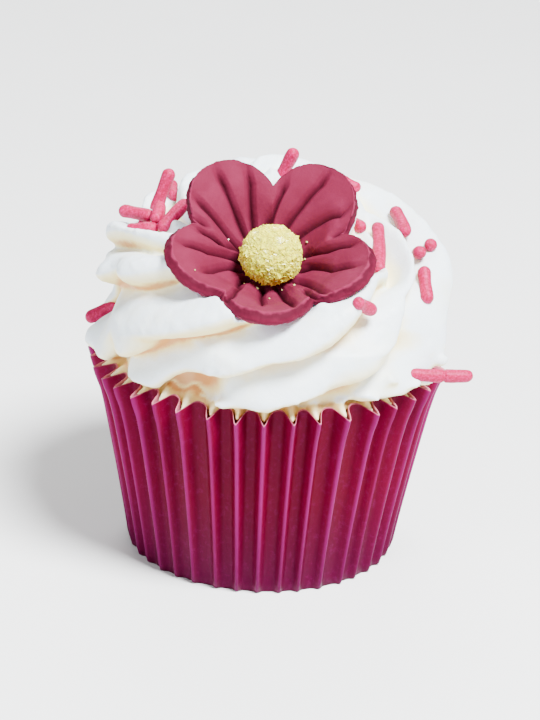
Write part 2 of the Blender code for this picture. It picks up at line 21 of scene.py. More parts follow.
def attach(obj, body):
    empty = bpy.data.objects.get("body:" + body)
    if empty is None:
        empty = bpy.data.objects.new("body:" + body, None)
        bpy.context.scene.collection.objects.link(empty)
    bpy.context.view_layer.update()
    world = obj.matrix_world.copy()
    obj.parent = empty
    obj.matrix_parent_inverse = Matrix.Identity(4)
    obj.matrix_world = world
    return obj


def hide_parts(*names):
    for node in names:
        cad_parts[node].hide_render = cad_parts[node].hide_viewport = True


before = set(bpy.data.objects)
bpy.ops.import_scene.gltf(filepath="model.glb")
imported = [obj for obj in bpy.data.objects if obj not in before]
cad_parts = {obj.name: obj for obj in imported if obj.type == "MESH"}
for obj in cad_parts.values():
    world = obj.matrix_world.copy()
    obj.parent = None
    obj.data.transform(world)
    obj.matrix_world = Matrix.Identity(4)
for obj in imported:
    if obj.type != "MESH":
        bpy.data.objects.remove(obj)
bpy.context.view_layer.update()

LOG = logging.getLogger("cupcake")
MM = 0.001
FULL_TURN = 2 * math.pi
Point = tuple[float, float, float]
Array = np.ndarray


class Node(Enum):
    """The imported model's nodes that the pieces stand for."""

    PAPER_CASE = "paper_case"
    SPONGE = "sponge"
    ICING = "icing"
    FLOWER = "flower"
    FLOWER_CENTRE = "flower_centre"


class Slot(Enum):
    """The record's material slots."""

    CASE_PAPER = "case_paper"
    SPONGE = "sponge"
    BUTTERCREAM = "buttercream"
    SUGAR_PASTE = "sugar_paste"
    SUGAR_BALL = "sugar_ball"


class Mark(Enum):
    """Numbers kept on a mesh's vertices for its material to read."""

    FOLD = "fold"
    INSIDE = "inside"
    HEIGHT = "height"
    # How much painted shade each point of the icing gets, kept under the name hollow.
    PAINTED_SHADE = "hollow"
    CREASE = "crease"
    SIDE = "side"
    GRAIN = "grain"


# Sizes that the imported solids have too

# Angles in degrees up the lower turn's section, from its underside through outward to its inner side
GROOVE_ANGLES = (-64.0, -35.0, -15.0, -6.0, -1.0, 1.0, 7.0, 15.0, 37.0, 62.0, 95.0, 125.0)

# The azimuths in degrees at which each groove between two lobes crosses those angles
GROOVES = (
    (16.0, 29.0, 38.0, 43.0, 46.0, 48.0, 52.0, 57.0, 71.0, 90.0, 122.0, 150.0),
    (54.0, 66.0, 75.0, 80.0, 83.0, 85.0, 89.0, 93.0, 108.0, 127.0, 158.0, 188.0),
    (90.0, 101.0, 110.0, 115.0, 117.0, 119.0, 123.0, 127.0, 141.0, 160.0, 192.0, 222.0),
    (125.0, 136.0, 145.0, 150.0, 152.0, 154.0, 158.0, 162.0, 175.0, 192.0, 224.0, 255.0),
    (153.0, 161.0, 173.0, 179.0, 184.0, 187.0, 193.0, 200.0, 222.0, 234.0, 260.0, 290.0),
    (194.0, 206.0, 219.0, 225.0, 233.0, 236.0, 247.0, 256.0, 272.0, 292.0, 320.0, 350.0),
    (224.0, 234.0, 241.0, 247.0, 262.0, 285.0, 293.0, 298.0, 307.0, 318.0, 350.0, 380.0),
    (267.0, 272.0, 284.0, 311.0, 316.0, 318.0, 320.0, 322.0, 327.0, 345.0, 375.0, 405.0),
    (306.0, 324.0, 340.0, 345.0, 350.0, 352.0, 356.0, 360.0, 372.0, 388.0, 420.0, 450.0),
    (341.0, 355.0, 365.0, 370.0, 373.0, 375.0, 379.0, 384.0, 398.0, 416.0, 448.0, 476.0),
)

# Soft pushes that shape the lower turn, each with its middle, its size and its way
SHAPING = (
    ((13.9, -7.0, 43.5), 5.0, (0.0, 0.0, -3.8)),
    ((-15.5, -0.5, 45.0), 4.5, (0.0, 0.0, -1.2)),
    ((-22.4, -1.0, 29.8), 3.4, (-2.9, 0.0, -0.5)),
    ((-22.8, -1.0, 35.0), 3.6, (4.2, 0.3, 0.6)),
    ((-22.0, 5.0, 35.0), 3.8, (4.2, 0.0, 0.0)),
    ((-21.9, -8.6, 39.4), 3.4, (2.4, 0.8, 0.4)),
    ((-21.4, 1.0, 41.0), 2.6, (-1.6, 0.0, 0.0)),
    ((-16.6, 8.6, 46.6), 4.4, (0.6, 0.0, -2.8)),
    ((-22.0, 3.6, 43.2), 3.0, (1.2, 0.0, -0.3)),
    ((20.0, 3.6, 45.0), 4.4, (-0.4, 0.0, -0.45)),
    ((23.2, -6.2, 38.2), 2.2, (-0.6, 0.0, 0.0)),
    ((22.2, -9.4, 32.4), 2.8, (0.7, 0.0, 0.0)),
    ((9.2, 8.6, 48.4), 4.0, (0.3, 0.0, 1.1)),
    ((-17.5, -13.5, 28.5), 3.6, (-1.2, -0.9, -0.6)),
    ((-20.6, -12.0, 29.2), 3.0, (1.6, 1.2, 2.2)),
    ((-8.6, -19.6, 29.2), 3.2, (1.1, 2.4, 0.2)),
    ((9.8, -21.1, 28.9), 3.2, (-0.8, 1.7, 0.3)),
)

# The ends of the sugar strands that the photograph shows
STRANDS = (
    ((-15.7, 4.4, 44.2), (-13.7, 5.4, 50.2)),
    ((-20.2, 2.6, 45.1), (-15.6, 0.1, 45.2)),
    ((-19.0, -0.6, 43.6), (-14.9, -2.2, 44.6)),
    ((-14.8, 1.6, 46.7), (-15.4, -1.8, 45.3)),
    ((-11.2, 1.1, 47.3), (-14.6, -3.2, 44.6)),
    ((2.6, 4.2, 54.1), (0.7, 4.2, 49.8)),
    ((-24.3, 2.0, 29.7), (-19.9, 1.3, 32.5)),
    ((8.6, 9.5, 48.4), (11.5, 9.1, 47.0)),
    ((16.0, 5.9, 45.7), (17.5, -0.4, 44.5)),
    ((13.7, 0.3, 45.5), (13.9, -8.3, 41.9)),
    ((11.8, -1.8, 45.6), (9.2, 2.4, 45.0)),
    ((20.5, 2.0, 42.2), (20.6, -2.0, 43.8)),
    ((19.3, -0.5, 41.9), (19.3, -4.2, 43.5)),
    ((19.8, -5.1, 41.8), (20.4, -9.1, 38.3)),
    ((10.8, -20.5, 42.4), (13.3, -17.5, 40.1)),
    ((17.7, -13.3, 30.1), (26.6, -12.6, 29.9)),
)

# Torn scraps of icing that the solids don't have, each with its middle and its reach along the axes
SCRAPS = (
    ((-4.6, -21.4, 28.3), (1.8, 1.0, 0.6)),
    ((6.9, -19.8, 41.1), (1.2, 0.7, 0.7)),
    ((12.8, -17.7, 28.7), (1.7, 1.2, 0.7)),
    ((15.4, -16.2, 30.2), (1.3, 1.0, 0.9)),
    ((18.2, -13.8, 29.1), (1.7, 1.2, 0.7)),
    ((20.3, -11.6, 28.6), (1.4, 1.2, 0.6)),
    ((20.6, -10.4, 32.2), (0.9, 1.0, 1.3)),
    ((22.0, -8.6, 33.0), (0.8, 1.0, 1.2)),
    ((22.4, -10.2, 30.9), (1.0, 0.9, 0.8)),
)


def smooth_step(low: float, high: float, value: float | Array) -> float | Array:
    """Rise from 0 at low to 1 at high with level ends.

    Args:
        low: Where the rise starts.
        high: Where it ends.
        value: The number, or array of them, to look up.

    Returns:
        The height of the step at each value.
    """
    share = np.clip((value - low) / (high - low), 0.0, 1.0)
    return share * share * (3 - 2 * share)


def even_turn(count: int) -> Array:
    """Azimuths in radians of even steps round a full turn."""
    return FULL_TURN * np.arange(count) / count


def ring_points(radius: Array | float, turn: Array, height: Array | float) -> Array:
    """Points from their distances to the axis, azimuths in radians and heights."""
    return np.stack([radius * np.cos(turn), radius * np.sin(turn), height + 0 * turn], axis=1)


def on_axis(height: float) -> Array:
    """The point of the cupcake's axis at a height, as a row of its own."""
    return np.array([[0.0, 0.0, height]])


def signed_power(number: float, power: float) -> float:
    """A power of a number's size, with the number's sign."""
    return math.copysign(abs(number) ** power, number)


def fractal_noise(points: Array, size: float, octaves: int = 3) -> Array:
    """Fractal noise at many points.

    Args:
        points: Places in millimetres, one a row.
        size: Millimetres across its largest bumps.
        octaves: How many finer layers it adds up.

    Returns:
        One number of about -1 to 1 for each point.
    """
    return np.array([noise.fractal(Vector(p), 1.0, 2.0, octaves) for p in points / size])


def joined_rows(rows: Array) -> list[tuple[int, ...]]:
    """Faces that join closed rows of points, with a fan over each end.

    Args:
        rows: Points of the shape rows, columns, 3.

    Returns:
        The faces, where the two points after the last row close the ends.
    """
    count, columns = rows.shape[:2]
    first, last = count * columns, count * columns + 1
    index = np.arange(count * columns).reshape(count, columns)
    following = np.roll(index, -1, axis=1)
    quads = np.stack([index[:-1], following[:-1], following[1:], index[1:]], axis=-1).reshape(-1, 4)
    faces = [tuple(quad) for quad in quads.tolist()]
    faces += [(first, b, a) for a, b in zip(index[0].tolist(), following[0].tolist())]
    faces += [(last, a, b) for a, b in zip(index[-1].tolist(), following[-1].tolist())]
    return faces


def closed_mesh(name: str, points: Array, faces: list[tuple[int, ...]]) -> bpy.types.Mesh:
    """Make a mesh of points in millimetres with its normals outward.

    Args:
        name: The mesh's name.
        points: Its points, one a row.
        faces: Its faces by point number.

    Returns:
        The mesh, in metres.
    """
    mesh = bpy.data.meshes.new(name)
    mesh.from_pydata((points * MM).tolist(), [], faces)
    shape = bmesh.new()
    shape.from_mesh(mesh)
    bmesh.ops.recalc_face_normals(shape, faces=shape.faces)
    shape.to_mesh(mesh)
    shape.free()
    return mesh


def lofted(name: str, rows: Array, start: Array, end: Array) -> bpy.types.Mesh:
    """Close rows of points into one skin.

    Args:
        name: The mesh's name.
        rows: Points in millimetres, of the shape rows, columns, 3.
        start: The point that closes the first row.
        end: The point that closes the last row.

    Returns:
        The closed mesh.
    """
    points = np.vstack([rows.reshape(-1, 3), start, end])
    return closed_mesh(name, points, joined_rows(rows))


def vertex_rows(mesh: bpy.types.Mesh, kind: str) -> Array:
    """Three numbers of every vertex of a mesh.

    Args:
        mesh: The mesh.
        kind: Which numbers, by the name that Blender has for them.

    Returns:
        The numbers, one row a vertex.
    """
    flat = np.empty(len(mesh.vertices) * 3)
    mesh.vertices.foreach_get(kind, flat)
    return flat.reshape(-1, 3)


def points_of(mesh: bpy.types.Mesh) -> Array:
    """A mesh's points in millimetres, one a row."""
    return vertex_rows(mesh, "co") / MM


def normals_of(mesh: bpy.types.Mesh) -> Array:
    """A mesh's point normals, one a row."""
    return vertex_rows(mesh, "normal")


def move_points(mesh: bpy.types.Mesh, points: Array) -> None:
    """Give a mesh new points in millimetres."""
    mesh.vertices.foreach_set("co", (points * MM).ravel())
    mesh.update()


def raise_points(mesh: bpy.types.Mesh, points: Array, heights: Array) -> None:
    """Give a mesh new points, each raised along the mesh's normal by its own height in millimetres."""
    move_points(mesh, points + normals_of(mesh) * heights[:, None])


def relaxed(mesh: bpy.types.Mesh, points: Array, rounds: int) -> Array:
    """Draw every point towards the middle of its neighbours.

    Args:
        mesh: The mesh whose edges say which points are neighbours.
        points: Points, or other rows of numbers, one for each of its vertices.
        rounds: How often they are drawn in.

    Returns:
        The smoothed rows.
    """
    ends = np.empty(len(mesh.edges) * 2, dtype=np.int64)
    mesh.edges.foreach_get("vertices", ends)
    ends = ends.reshape(-1, 2)
    count = len(points)
    both = np.concatenate([ends[:, 0], ends[:, 1]])
    other = np.concatenate([ends[:, 1], ends[:, 0]])
    degree = np.maximum(np.bincount(both, minlength=count), 1)
    for _ in range(rounds):
        sums = [np.bincount(both, points[other, axis], minlength=count) for axis in range(points.shape[1])]
        points = 0.5 * points + 0.5 * np.stack(sums, axis=1) / degree[:, None]
    return points


def set_mark(mesh: bpy.types.Mesh, mark: Mark, values: Array) -> None:
    """Store one number for each vertex of a mesh under a mark's name."""
    layer = mesh.attributes.new(mark.value, "FLOAT", "POINT")
    layer.data.foreach_set("value", np.asarray(values, dtype=np.float32))


def added(name: str, data: bpy.types.ID) -> bpy.types.Object:
    """Add an object to the scene.

    Args:
        name: The object's name.
        data: Its mesh, lamp or camera.

    Returns:
        The new object.
    """
    thing = bpy.data.objects.new(name, data)
    bpy.context.scene.collection.objects.link(thing)
    return thing


def evaluated(mesh: bpy.types.Mesh, kind: str, **settings: object) -> bpy.types.Mesh:
    """Run one modifier over a mesh.

    Args:
        mesh: The mesh, which is used up.
        kind: The modifier's type.
        settings: Its settings by name.

    Returns:
        A new mesh with the modifier applied.
    """
    draft = added("draft", mesh)
    modifier = draft.modifiers.new("Shape", kind)
    for name, value in settings.items():
        setattr(modifier, name, value)
    graph = bpy.context.evaluated_depsgraph_get()
    made = bpy.data.meshes.new_from_object(draft.evaluated_get(graph))
    bpy.data.objects.remove(draft)
    bpy.data.meshes.remove(mesh)
    return made


def made_of(name: str, shape: bmesh.types.BMesh) -> bpy.types.Mesh:
    """Turn a shape that was edited in memory into a mesh.

    Args:
        name: The mesh's name.
        shape: The shape, which is used up.

    Returns:
        The mesh.
    """
    mesh = bpy.data.meshes.new(name)
    shape.to_mesh(mesh)
    shape.free()
    return mesh


def round_lump(name: str, subdivisions: int, radius: float) -> bpy.types.Mesh:
    """A ball of even triangles.

    Args:
        name: The mesh's name.
        subdivisions: How often its triangles are divided.
        radius: Its radius in millimetres.

    Returns:
        The mesh.
    """
    shape = bmesh.new()
    bmesh.ops.create_icosphere(shape, subdivisions=subdivisions, radius=radius * MM)
    return made_of(name, shape)


def joined(name: str, meshes: list[bpy.types.Mesh]) -> bpy.types.Mesh:
    """Put several meshes into one.

    Args:
        name: The new mesh's name.
        meshes: The meshes, which are used up.

    Returns:
        The new mesh.
    """
    shape = bmesh.new()
    for mesh in meshes:
        shape.from_mesh(mesh)
        bpy.data.meshes.remove(mesh)
    return made_of(name, shape)


def one_skin(meshes: list[bpy.types.Mesh], voxel: float) -> bpy.types.Mesh:
    """Melt closed meshes that overlap into one even skin.

    Args:
        meshes: The closed meshes, which are used up.
        voxel: Millimetres across one face of the new skin.

    Returns:
        The new mesh.
    """
    return evaluated(joined("whole", meshes), "REMESH", mode="VOXEL", voxel_size=voxel * MM)


def surface_tree(meshes: list[bpy.types.Mesh]) -> BVHTree:
    """A tree that finds the nearest place on the surface of several meshes.

    Args:
        meshes: The meshes, which are left as they are.

    Returns:
        The tree, in metres.
    """
    points, faces = [], []
    for mesh in meshes:
        base = len(points)
        points += [point.co.copy() for point in mesh.vertices]
        faces += [[base + corner for corner in face.vertices] for face in mesh.polygons]
    return BVHTree.FromPolygons(points, faces)


def carved(mesh: bpy.types.Mesh, cutter: bpy.types.Mesh) -> bpy.types.Mesh:
    """Cut one closed mesh out of another.

    Args:
        mesh: The mesh to cut, which is used up.
        cutter: The mesh to cut with, which is used up.

    Returns:
        The cut mesh.
    """
    tool = added("tool", cutter)
    made = evaluated(mesh, "BOOLEAN", operation="DIFFERENCE", object=tool, solver="MANIFOLD")
    bpy.data.objects.remove(tool)
    bpy.data.meshes.remove(cutter)
    return made


def put_in_frame(
    name: str, mesh: bpy.types.Mesh, finish: bpy.types.Material, node: Node
) -> bpy.types.Object:
    """Add a finished piece that rides on the part and stands for one of its nodes.

    Args:
        name: The piece's name.
        mesh: Its mesh, in metres.
        finish: Its material.
        node: The node that it stands for.

    Returns:
        The new object.
    """
    mesh.materials.clear()
    mesh.materials.append(finish)
    mesh.shade_smooth()
    piece = added(name, mesh)
    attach(piece, "root")
    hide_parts(node.value)
    LOG.info("%s: %d points for node %s", name, len(mesh.vertices), node.value)
    return piece


@dataclass(frozen=True)
class Colour:
    """A colour by its red, green and blue from 0 to 255, as a screen shows it."""

    red: float
    green: float
    blue: float

    def linear(self) -> tuple[float, float, float, float]:
        """The colour in linear light, by the curve that screens use.

        Returns:
            Red, green, blue and full cover, as a shader socket takes them.
        """
        shares = (self.red / 255, self.green / 255, self.blue / 255)
        light = [s / 12.92 if s <= 0.04045 else ((s + 0.055) / 1.055) ** 2.4 for s in shares]
        return (*light, 1.0)


class Bench:
    """The node tree of one material, with short calls that add and join its nodes."""

    def __init__(self, name: str) -> None:
        """Start a Principled material.

        Args:
            name: The material's name.
        """
        self.material = bpy.data.materials.new(name)
        self.material.use_nodes = True
        self.tree = self.material.node_tree
        self.shader = self.tree.nodes["Principled BSDF"]

    def set(self, **levels: object) -> None:
        """Set the shader's own sockets, with underscores for the spaces in their names."""
        for name, level in levels.items():
            self.shader.inputs[name.replace("_", " ")].default_value = level

    def join(self, source: bpy.types.NodeSocket, target: bpy.types.NodeSocket) -> None:
        """Join an output to an input."""
        self.tree.links.new(source, target)

    def mark(self, mark: Mark) -> bpy.types.NodeSocket:
        """Read the number that a mesh's vertices carry.

        Args:
            mark: The mark that it is kept under.

        Returns:
            The number.
        """
        reader = self.tree.nodes.new("ShaderNodeAttribute")
        reader.attribute_name = mark.value
        return reader.outputs["Fac"]

    def texture(self, kind: str, size: float) -> bpy.types.Node:
        """Add a solid texture that is fixed to the piece.

        Args:
            kind: The texture node's type.
            size: Millimetres across one of its bumps or cells.

        Returns:
            The texture's node.
        """
        maker = self.tree.nodes.new(kind)
        place = self.tree.nodes.new("ShaderNodeTexCoord")
        maker.inputs["Scale"].default_value = 1 / (size * MM)
        self.join(place.outputs["Object"], maker.inputs["Vector"])
        return maker

    def noise(self, size: float, detail: float = 3.0, rough: float = 0.55) -> bpy.types.NodeSocket:
        """Solid noise.

        Args:
            size: Millimetres across its bumps.
            detail: How many finer layers it has.
            rough: How strong they are.

        Returns:
            Its grey output.
        """
        maker = self.texture("ShaderNodeTexNoise", size)
        maker.inputs["Detail"].default_value = detail
        maker.inputs["Roughness"].default_value = rough
        return maker.outputs["Fac"]

    def cells(self, size: float) -> bpy.types.NodeSocket:
        """Distance to the nearest of scattered points, size millimetres apart."""
        return self.texture("ShaderNodeTexVoronoi", size).outputs["Distance"]

    def ramp(self, source: bpy.types.NodeSocket, *stops: tuple[float, Colour]) -> bpy.types.NodeSocket:
        """Turn a number into colours.

        Args:
            source: The number.
            stops: Places from 0 to 1 with their colours.

        Returns:
            The colour output.
        """
        maker = self.tree.nodes.new("ShaderNodeValToRGB")
        elements = maker.color_ramp.elements
        while len(elements) < len(stops):
            elements.new(0.5)
        for element, (place, colour) in zip(elements, stops):
            element.position = place
            element.color = colour.linear()
        self.join(source, maker.inputs["Fac"])
        return maker.outputs["Color"]

    def span(
        self, source: bpy.types.NodeSocket, low: float, high: float, top: float
    ) -> bpy.types.NodeSocket:
        """Stretch a number over a new range, cut off at both ends.

        Args:
            source: The number.
            low: What becomes 0.
            high: What becomes the top.
            top: The other end of the new range.

        Returns:
            The stretched number.
        """
        maker = self.tree.nodes.new("ShaderNodeMapRange")
        maker.inputs["From Min"].default_value = low
        maker.inputs["From Max"].default_value = high
        maker.inputs["To Max"].default_value = top
        self.join(source, maker.inputs["Value"])
        return maker.outputs["Result"]

    def blend(
        self, share: bpy.types.NodeSocket, first: bpy.types.NodeSocket, second: Colour
    ) -> bpy.types.NodeSocket:
        """Blend a plain colour over another.

        Args:
            share: How much of the second shows.
            first: The colour below.
            second: The colour above.

        Returns:
            The colour output.
        """
        maker = self.tree.nodes.new("ShaderNodeMix")
        maker.data_type = "RGBA"
        self.join(share, maker.inputs["Factor"])
        colours = [socket for socket in maker.inputs if socket.type == "RGBA"]
        self.join(first, colours[0])
        colours[1].default_value = second.linear()
        return [socket for socket in maker.outputs if socket.type == "RGBA"][0]

    def colour(self, source: bpy.types.NodeSocket) -> None:
        """Let a colour drive the shader's base colour."""
        self.join(source, self.shader.inputs["Base Color"])

    def bump(self, *layers: tuple[bpy.types.NodeSocket, float]) -> None:
        """Roughen the surface.

        Args:
            layers: One or more layers, each a height and its depth in millimetres.
        """
        below = None
        for height, depth in layers:
            maker = self.tree.nodes.new("ShaderNodeBump")
            maker.inputs["Strength"].default_value = 1.0
            maker.inputs["Distance"].default_value = depth * MM
            self.join(height, maker.inputs["Height"])
            if below:
                self.join(below, maker.inputs["Normal"])
            below = maker.outputs["Normal"]
        self.join(below, self.shader.inputs["Normal"])


@dataclass(frozen=True)
class CasePaperFinish:
    """Waxed magenta paper, with painted light: its inward folds are darker and redder, painted shade over
    the paper's own deeper red there; its outward folds are brighter and bluer with a painted sheen; its
    inside is pale with painted light shining through the paper.
    """

    # Fold colours: the valley colour is painted shade in the inward folds, partly the paper's own deeper
    # red; the ridge colour is a painted sheen on the outward folds.
    shaded_valley: Colour = Colour(78, 0, 18)
    flank: Colour = Colour(94, 0, 32)
    ridge_sheen: Colour = Colour(118, 10, 80)
    foot: Colour = Colour(58, 0, 36)
    frost: Colour = Colour(124, 26, 92)
    # The inner colour is painted light shining through the paper, on its inside and along the rim's edge.
    inner: Colour = Colour(214, 128, 146)
    tint: tuple[float, float, float, float] = (0.9, 0.12, 0.5, 1.0)

    def material(self) -> bpy.types.Material:
        """Make the material.

        Returns:
            The material.
        """
        bench = Bench("case_paper_finish")
        height = bench.mark(Mark.HEIGHT)
        # Painted shade in the inward folds and a painted sheen on the outward folds, by the fold mark.
        stops = ((0.05, self.shaded_valley), (0.4, self.flank), (0.68, self.flank), (0.92, self.ridge_sheen))
        colour = bench.ramp(bench.mark(Mark.FOLD), *stops)
        colour = bench.blend(bench.span(height, low=0.5, high=0.0, top=0.75), colour, self.foot)
        frost = bench.noise(size=0.8, detail=6.0, rough=0.8)
        colour = bench.blend(bench.span(frost, low=0.52, high=0.8, top=0.4), colour, self.frost)
        # The rim's very edge takes the pale painted inner colour.
        colour = bench.blend(bench.span(height, low=0.994, high=1.0, top=0.5), colour, self.inner)
        # The inside of the paper is painted pale: painted light shining through the paper.
        inside = bench.span(bench.mark(Mark.INSIDE), low=0.4, high=0.6, top=0.8)
        bench.colour(bench.blend(inside, colour, self.inner))
        bench.set(Roughness=0.5, Specular_IOR_Level=0.2, Specular_Tint=self.tint)
        wrinkles = bench.noise(size=2.4, detail=2.0)
        fibres = bench.noise(size=0.35, detail=4.0, rough=0.7)
        bench.bump((wrinkles, 0.1), (fibres, 0.02))
        return bench.material


@dataclass(frozen=True)
class SpongeFinish:
    """Golden crumb, painted darker in its pores, where the bump sinks in, as painted shade."""

    crumb: Colour = Colour(226, 178, 108)
    shaded_pore: Colour = Colour(160, 100, 46)

    def material(self) -> bpy.types.Material:
        """Make the material.

        Returns:
            The material.
        """
        bench = Bench("sponge_finish")
        cells = bench.cells(size=1.3)
        # Painted shade: the crumb is darker in the pits that the same cells cut into the bump.
        bench.colour(bench.ramp(cells, (0.1, self.shaded_pore), (0.5, self.crumb)))
        bench.set(Roughness=0.85, Specular_IOR_Level=0.2, Subsurface_Weight=0.15, Subsurface_Scale=0.002)
        grain = bench.noise(size=0.5, detail=5.0, rough=0.7)
        bench.bump((cells, 0.4), (grain, 0.15))
        return bench.material


@dataclass(frozen=True)
class ButtercreamFinish:
    """Off-white buttercream with painted light and shade: a cool painted highlight on its crests, cream on
    its slopes, and warm painted shade with painted reflected light in its grooves and recesses.
    """

    # Colours along the icing's painted-shade mark: crest is a cool painted highlight, groove and recess are
    # warm painted shade with painted reflected light.
    crest: Colour = Colour(236, 247, 255)
    slope: Colour = Colour(246, 243, 214)
    groove: Colour = Colour(240, 220, 148)
    recess: Colour = Colour(210, 146, 78)
    butter: Colour = Colour(244, 239, 204)

    def material(self) -> bpy.types.Material:
        """Make the material.

        Returns:
            The material.
        """
        bench = Bench("buttercream_finish")
        # Painted highlight on the crests and painted shade down to the recesses, by the mark that the
        # icing's shape gives.
        stops = ((0.36, self.crest), (0.5, self.slope), (0.72, self.groove), (1.0, self.recess))
        colour = bench.ramp(bench.mark(Mark.PAINTED_SHADE), *stops)
        clouds = bench.span(bench.noise(size=7.0), low=0.5, high=0.75, top=0.4)
        bench.colour(bench.blend(clouds, colour, self.butter))
        bench.set(
            Roughness=0.42,
            Specular_IOR_Level=0.35,
            Subsurface_Weight=0.15,
            Subsurface_Radius=(1.0, 0.85, 0.6),
            Subsurface_Scale=0.0012,
        )
        ripples = bench.noise(size=1.1, rough=0.6)
        grain = bench.noise(size=0.3, rough=0.6)
        bench.bump((ripples, 0.1), (grain, 0.03))
        return bench.material


@dataclass(frozen=True)
class SugarPasteFinish:
    """Matt dusky pink paste, with painted shade in its creases and on its rougher cut side."""

    face: Colour = Colour(96, 24, 46)
    pale: Colour = Colour(104, 29, 53)
    # The crease colour is painted shade at the bottoms of the flutes.
    crease: Colour = Colour(32, 0, 4)
    # The lip and rim colours are lighter lines at the top and bottom of the cut side; the torn and side
    # colours are painted shade on it.
    lip: Colour = Colour(114, 32, 60)
    torn: Colour = Colour(60, 6, 22)
    side: Colour = Colour(86, 16, 38)
    rim: Colour = Colour(118, 32, 60)
    tint: tuple[float, float, float, float] = (1.0, 0.4, 0.6, 1.0)

    def material(self) -> bpy.types.Material:
        """Make the material.

        Returns:
            The material.
        """
        bench = Bench("sugar_paste_finish")
        clouds = bench.noise(size=3.0, detail=4.0)
        colour = bench.ramp(clouds, (0.4, self.face), (0.65, self.pale))
        cut = bench.mark(Mark.SIDE)
        # Bands down the cut side: a lighter line at the lip, painted shade below it as a ragged dark line
        # and a dark band, and a lighter lower edge.
        bands = (
            (0.14, 0.24, self.lip),
            (0.32, 0.4, self.torn),
            (0.5, 0.65, self.side),
            (0.75, 0.95, self.rim),
        )
        for low, high, shade in bands:
            colour = bench.blend(bench.span(cut, low, high, top=0.9), colour, shade)
        # Painted shade in the flutes, deepest where they are pressed deepest.
        crease = bench.span(bench.mark(Mark.CREASE), low=0.4, high=0.95, top=0.85)
        bench.colour(bench.blend(crease, colour, self.crease))
        bench.set(Roughness=0.7, Specular_IOR_Level=0.15, Specular_Tint=self.tint)
        dimples = bench.noise(size=0.45, detail=4.0, rough=0.65)
        grain = bench.noise(size=0.12, detail=2.0)
        bench.bump((dimples, 0.05), (grain, 0.015))
        return bench.material


@dataclass(frozen=True)
class SugarBallFinish:
    """Pale yellow sugar: plain in the core, each grain with its own shade in the coating."""

    light: Colour = Colour(255, 250, 60)
    deep: Colour = Colour(255, 236, 60)
    clear: Colour = Colour(255, 248, 128)
    spread: tuple[float, float, float] = (1.0, 0.8, 0.2)

    def material(self, clear: bool) -> bpy.types.Material:
        """Make the material.

        Args:
            clear: Whether it is for the shining grains and not for the core under them.

        Returns:
            The material.
        """
        bench = Bench("sugar_grain_finish" if clear else "sugar_core_finish")
        if clear:
            stops = ((0.0, self.deep), (0.85, self.light), (1.0, self.clear))
            bench.colour(bench.ramp(bench.mark(Mark.GRAIN), *stops))
        else:
            bench.set(Base_Color=self.deep.linear())
        bench.set(
            Roughness=0.18 if clear else 0.6,
            Specular_IOR_Level=0.35,
            Subsurface_Weight=0.6,
            Subsurface_Radius=self.spread,
            Subsurface_Scale=0.0016,
        )
        bench.bump((bench.noise(size=0.25), 0.04))
        return bench.material


@dataclass(frozen=True)
class SugarStrandFinish:
    """Candy pink sugar with fine paler and deeper specks."""

    body: Colour = Colour(166, 5, 68)
    pale: Colour = Colour(198, 32, 108)
    deep: Colour = Colour(134, 0, 44)
    tint: tuple[float, float, float, float] = (1.0, 0.6, 0.8, 1.0)

    def material(self) -> bpy.types.Material:
        """Make the material.

        Returns:
            The material.
        """
        bench = Bench("sugar_strand_finish")
        specks = bench.noise(size=0.3, detail=4.0, rough=0.8)
        bench.colour(bench.ramp(specks, (0.36, self.deep), (0.5, self.body), (0.66, self.pale)))
        bench.set(Roughness=0.5, Specular_IOR_Level=0.3, Specular_Tint=self.tint)
        bench.bump((bench.noise(size=0.25, detail=4.0, rough=0.7), 0.035))
        return bench.material


@dataclass(frozen=True)
class FloorFinish:
    """Matt pale card."""

    shade: Colour = Colour(236, 236, 236)
    light: Colour = Colour(242, 242, 242)

    def material(self) -> bpy.types.Material:
        """Make the material.

        Returns:
            The material.
        """
        bench = Bench("floor_finish")
        bench.colour(bench.ramp(bench.noise(size=40.0), (0.0, self.shade), (1.0, self.light)))
        bench.set(Roughness=0.9, Specular_IOR_Level=0.1)
        return bench.material


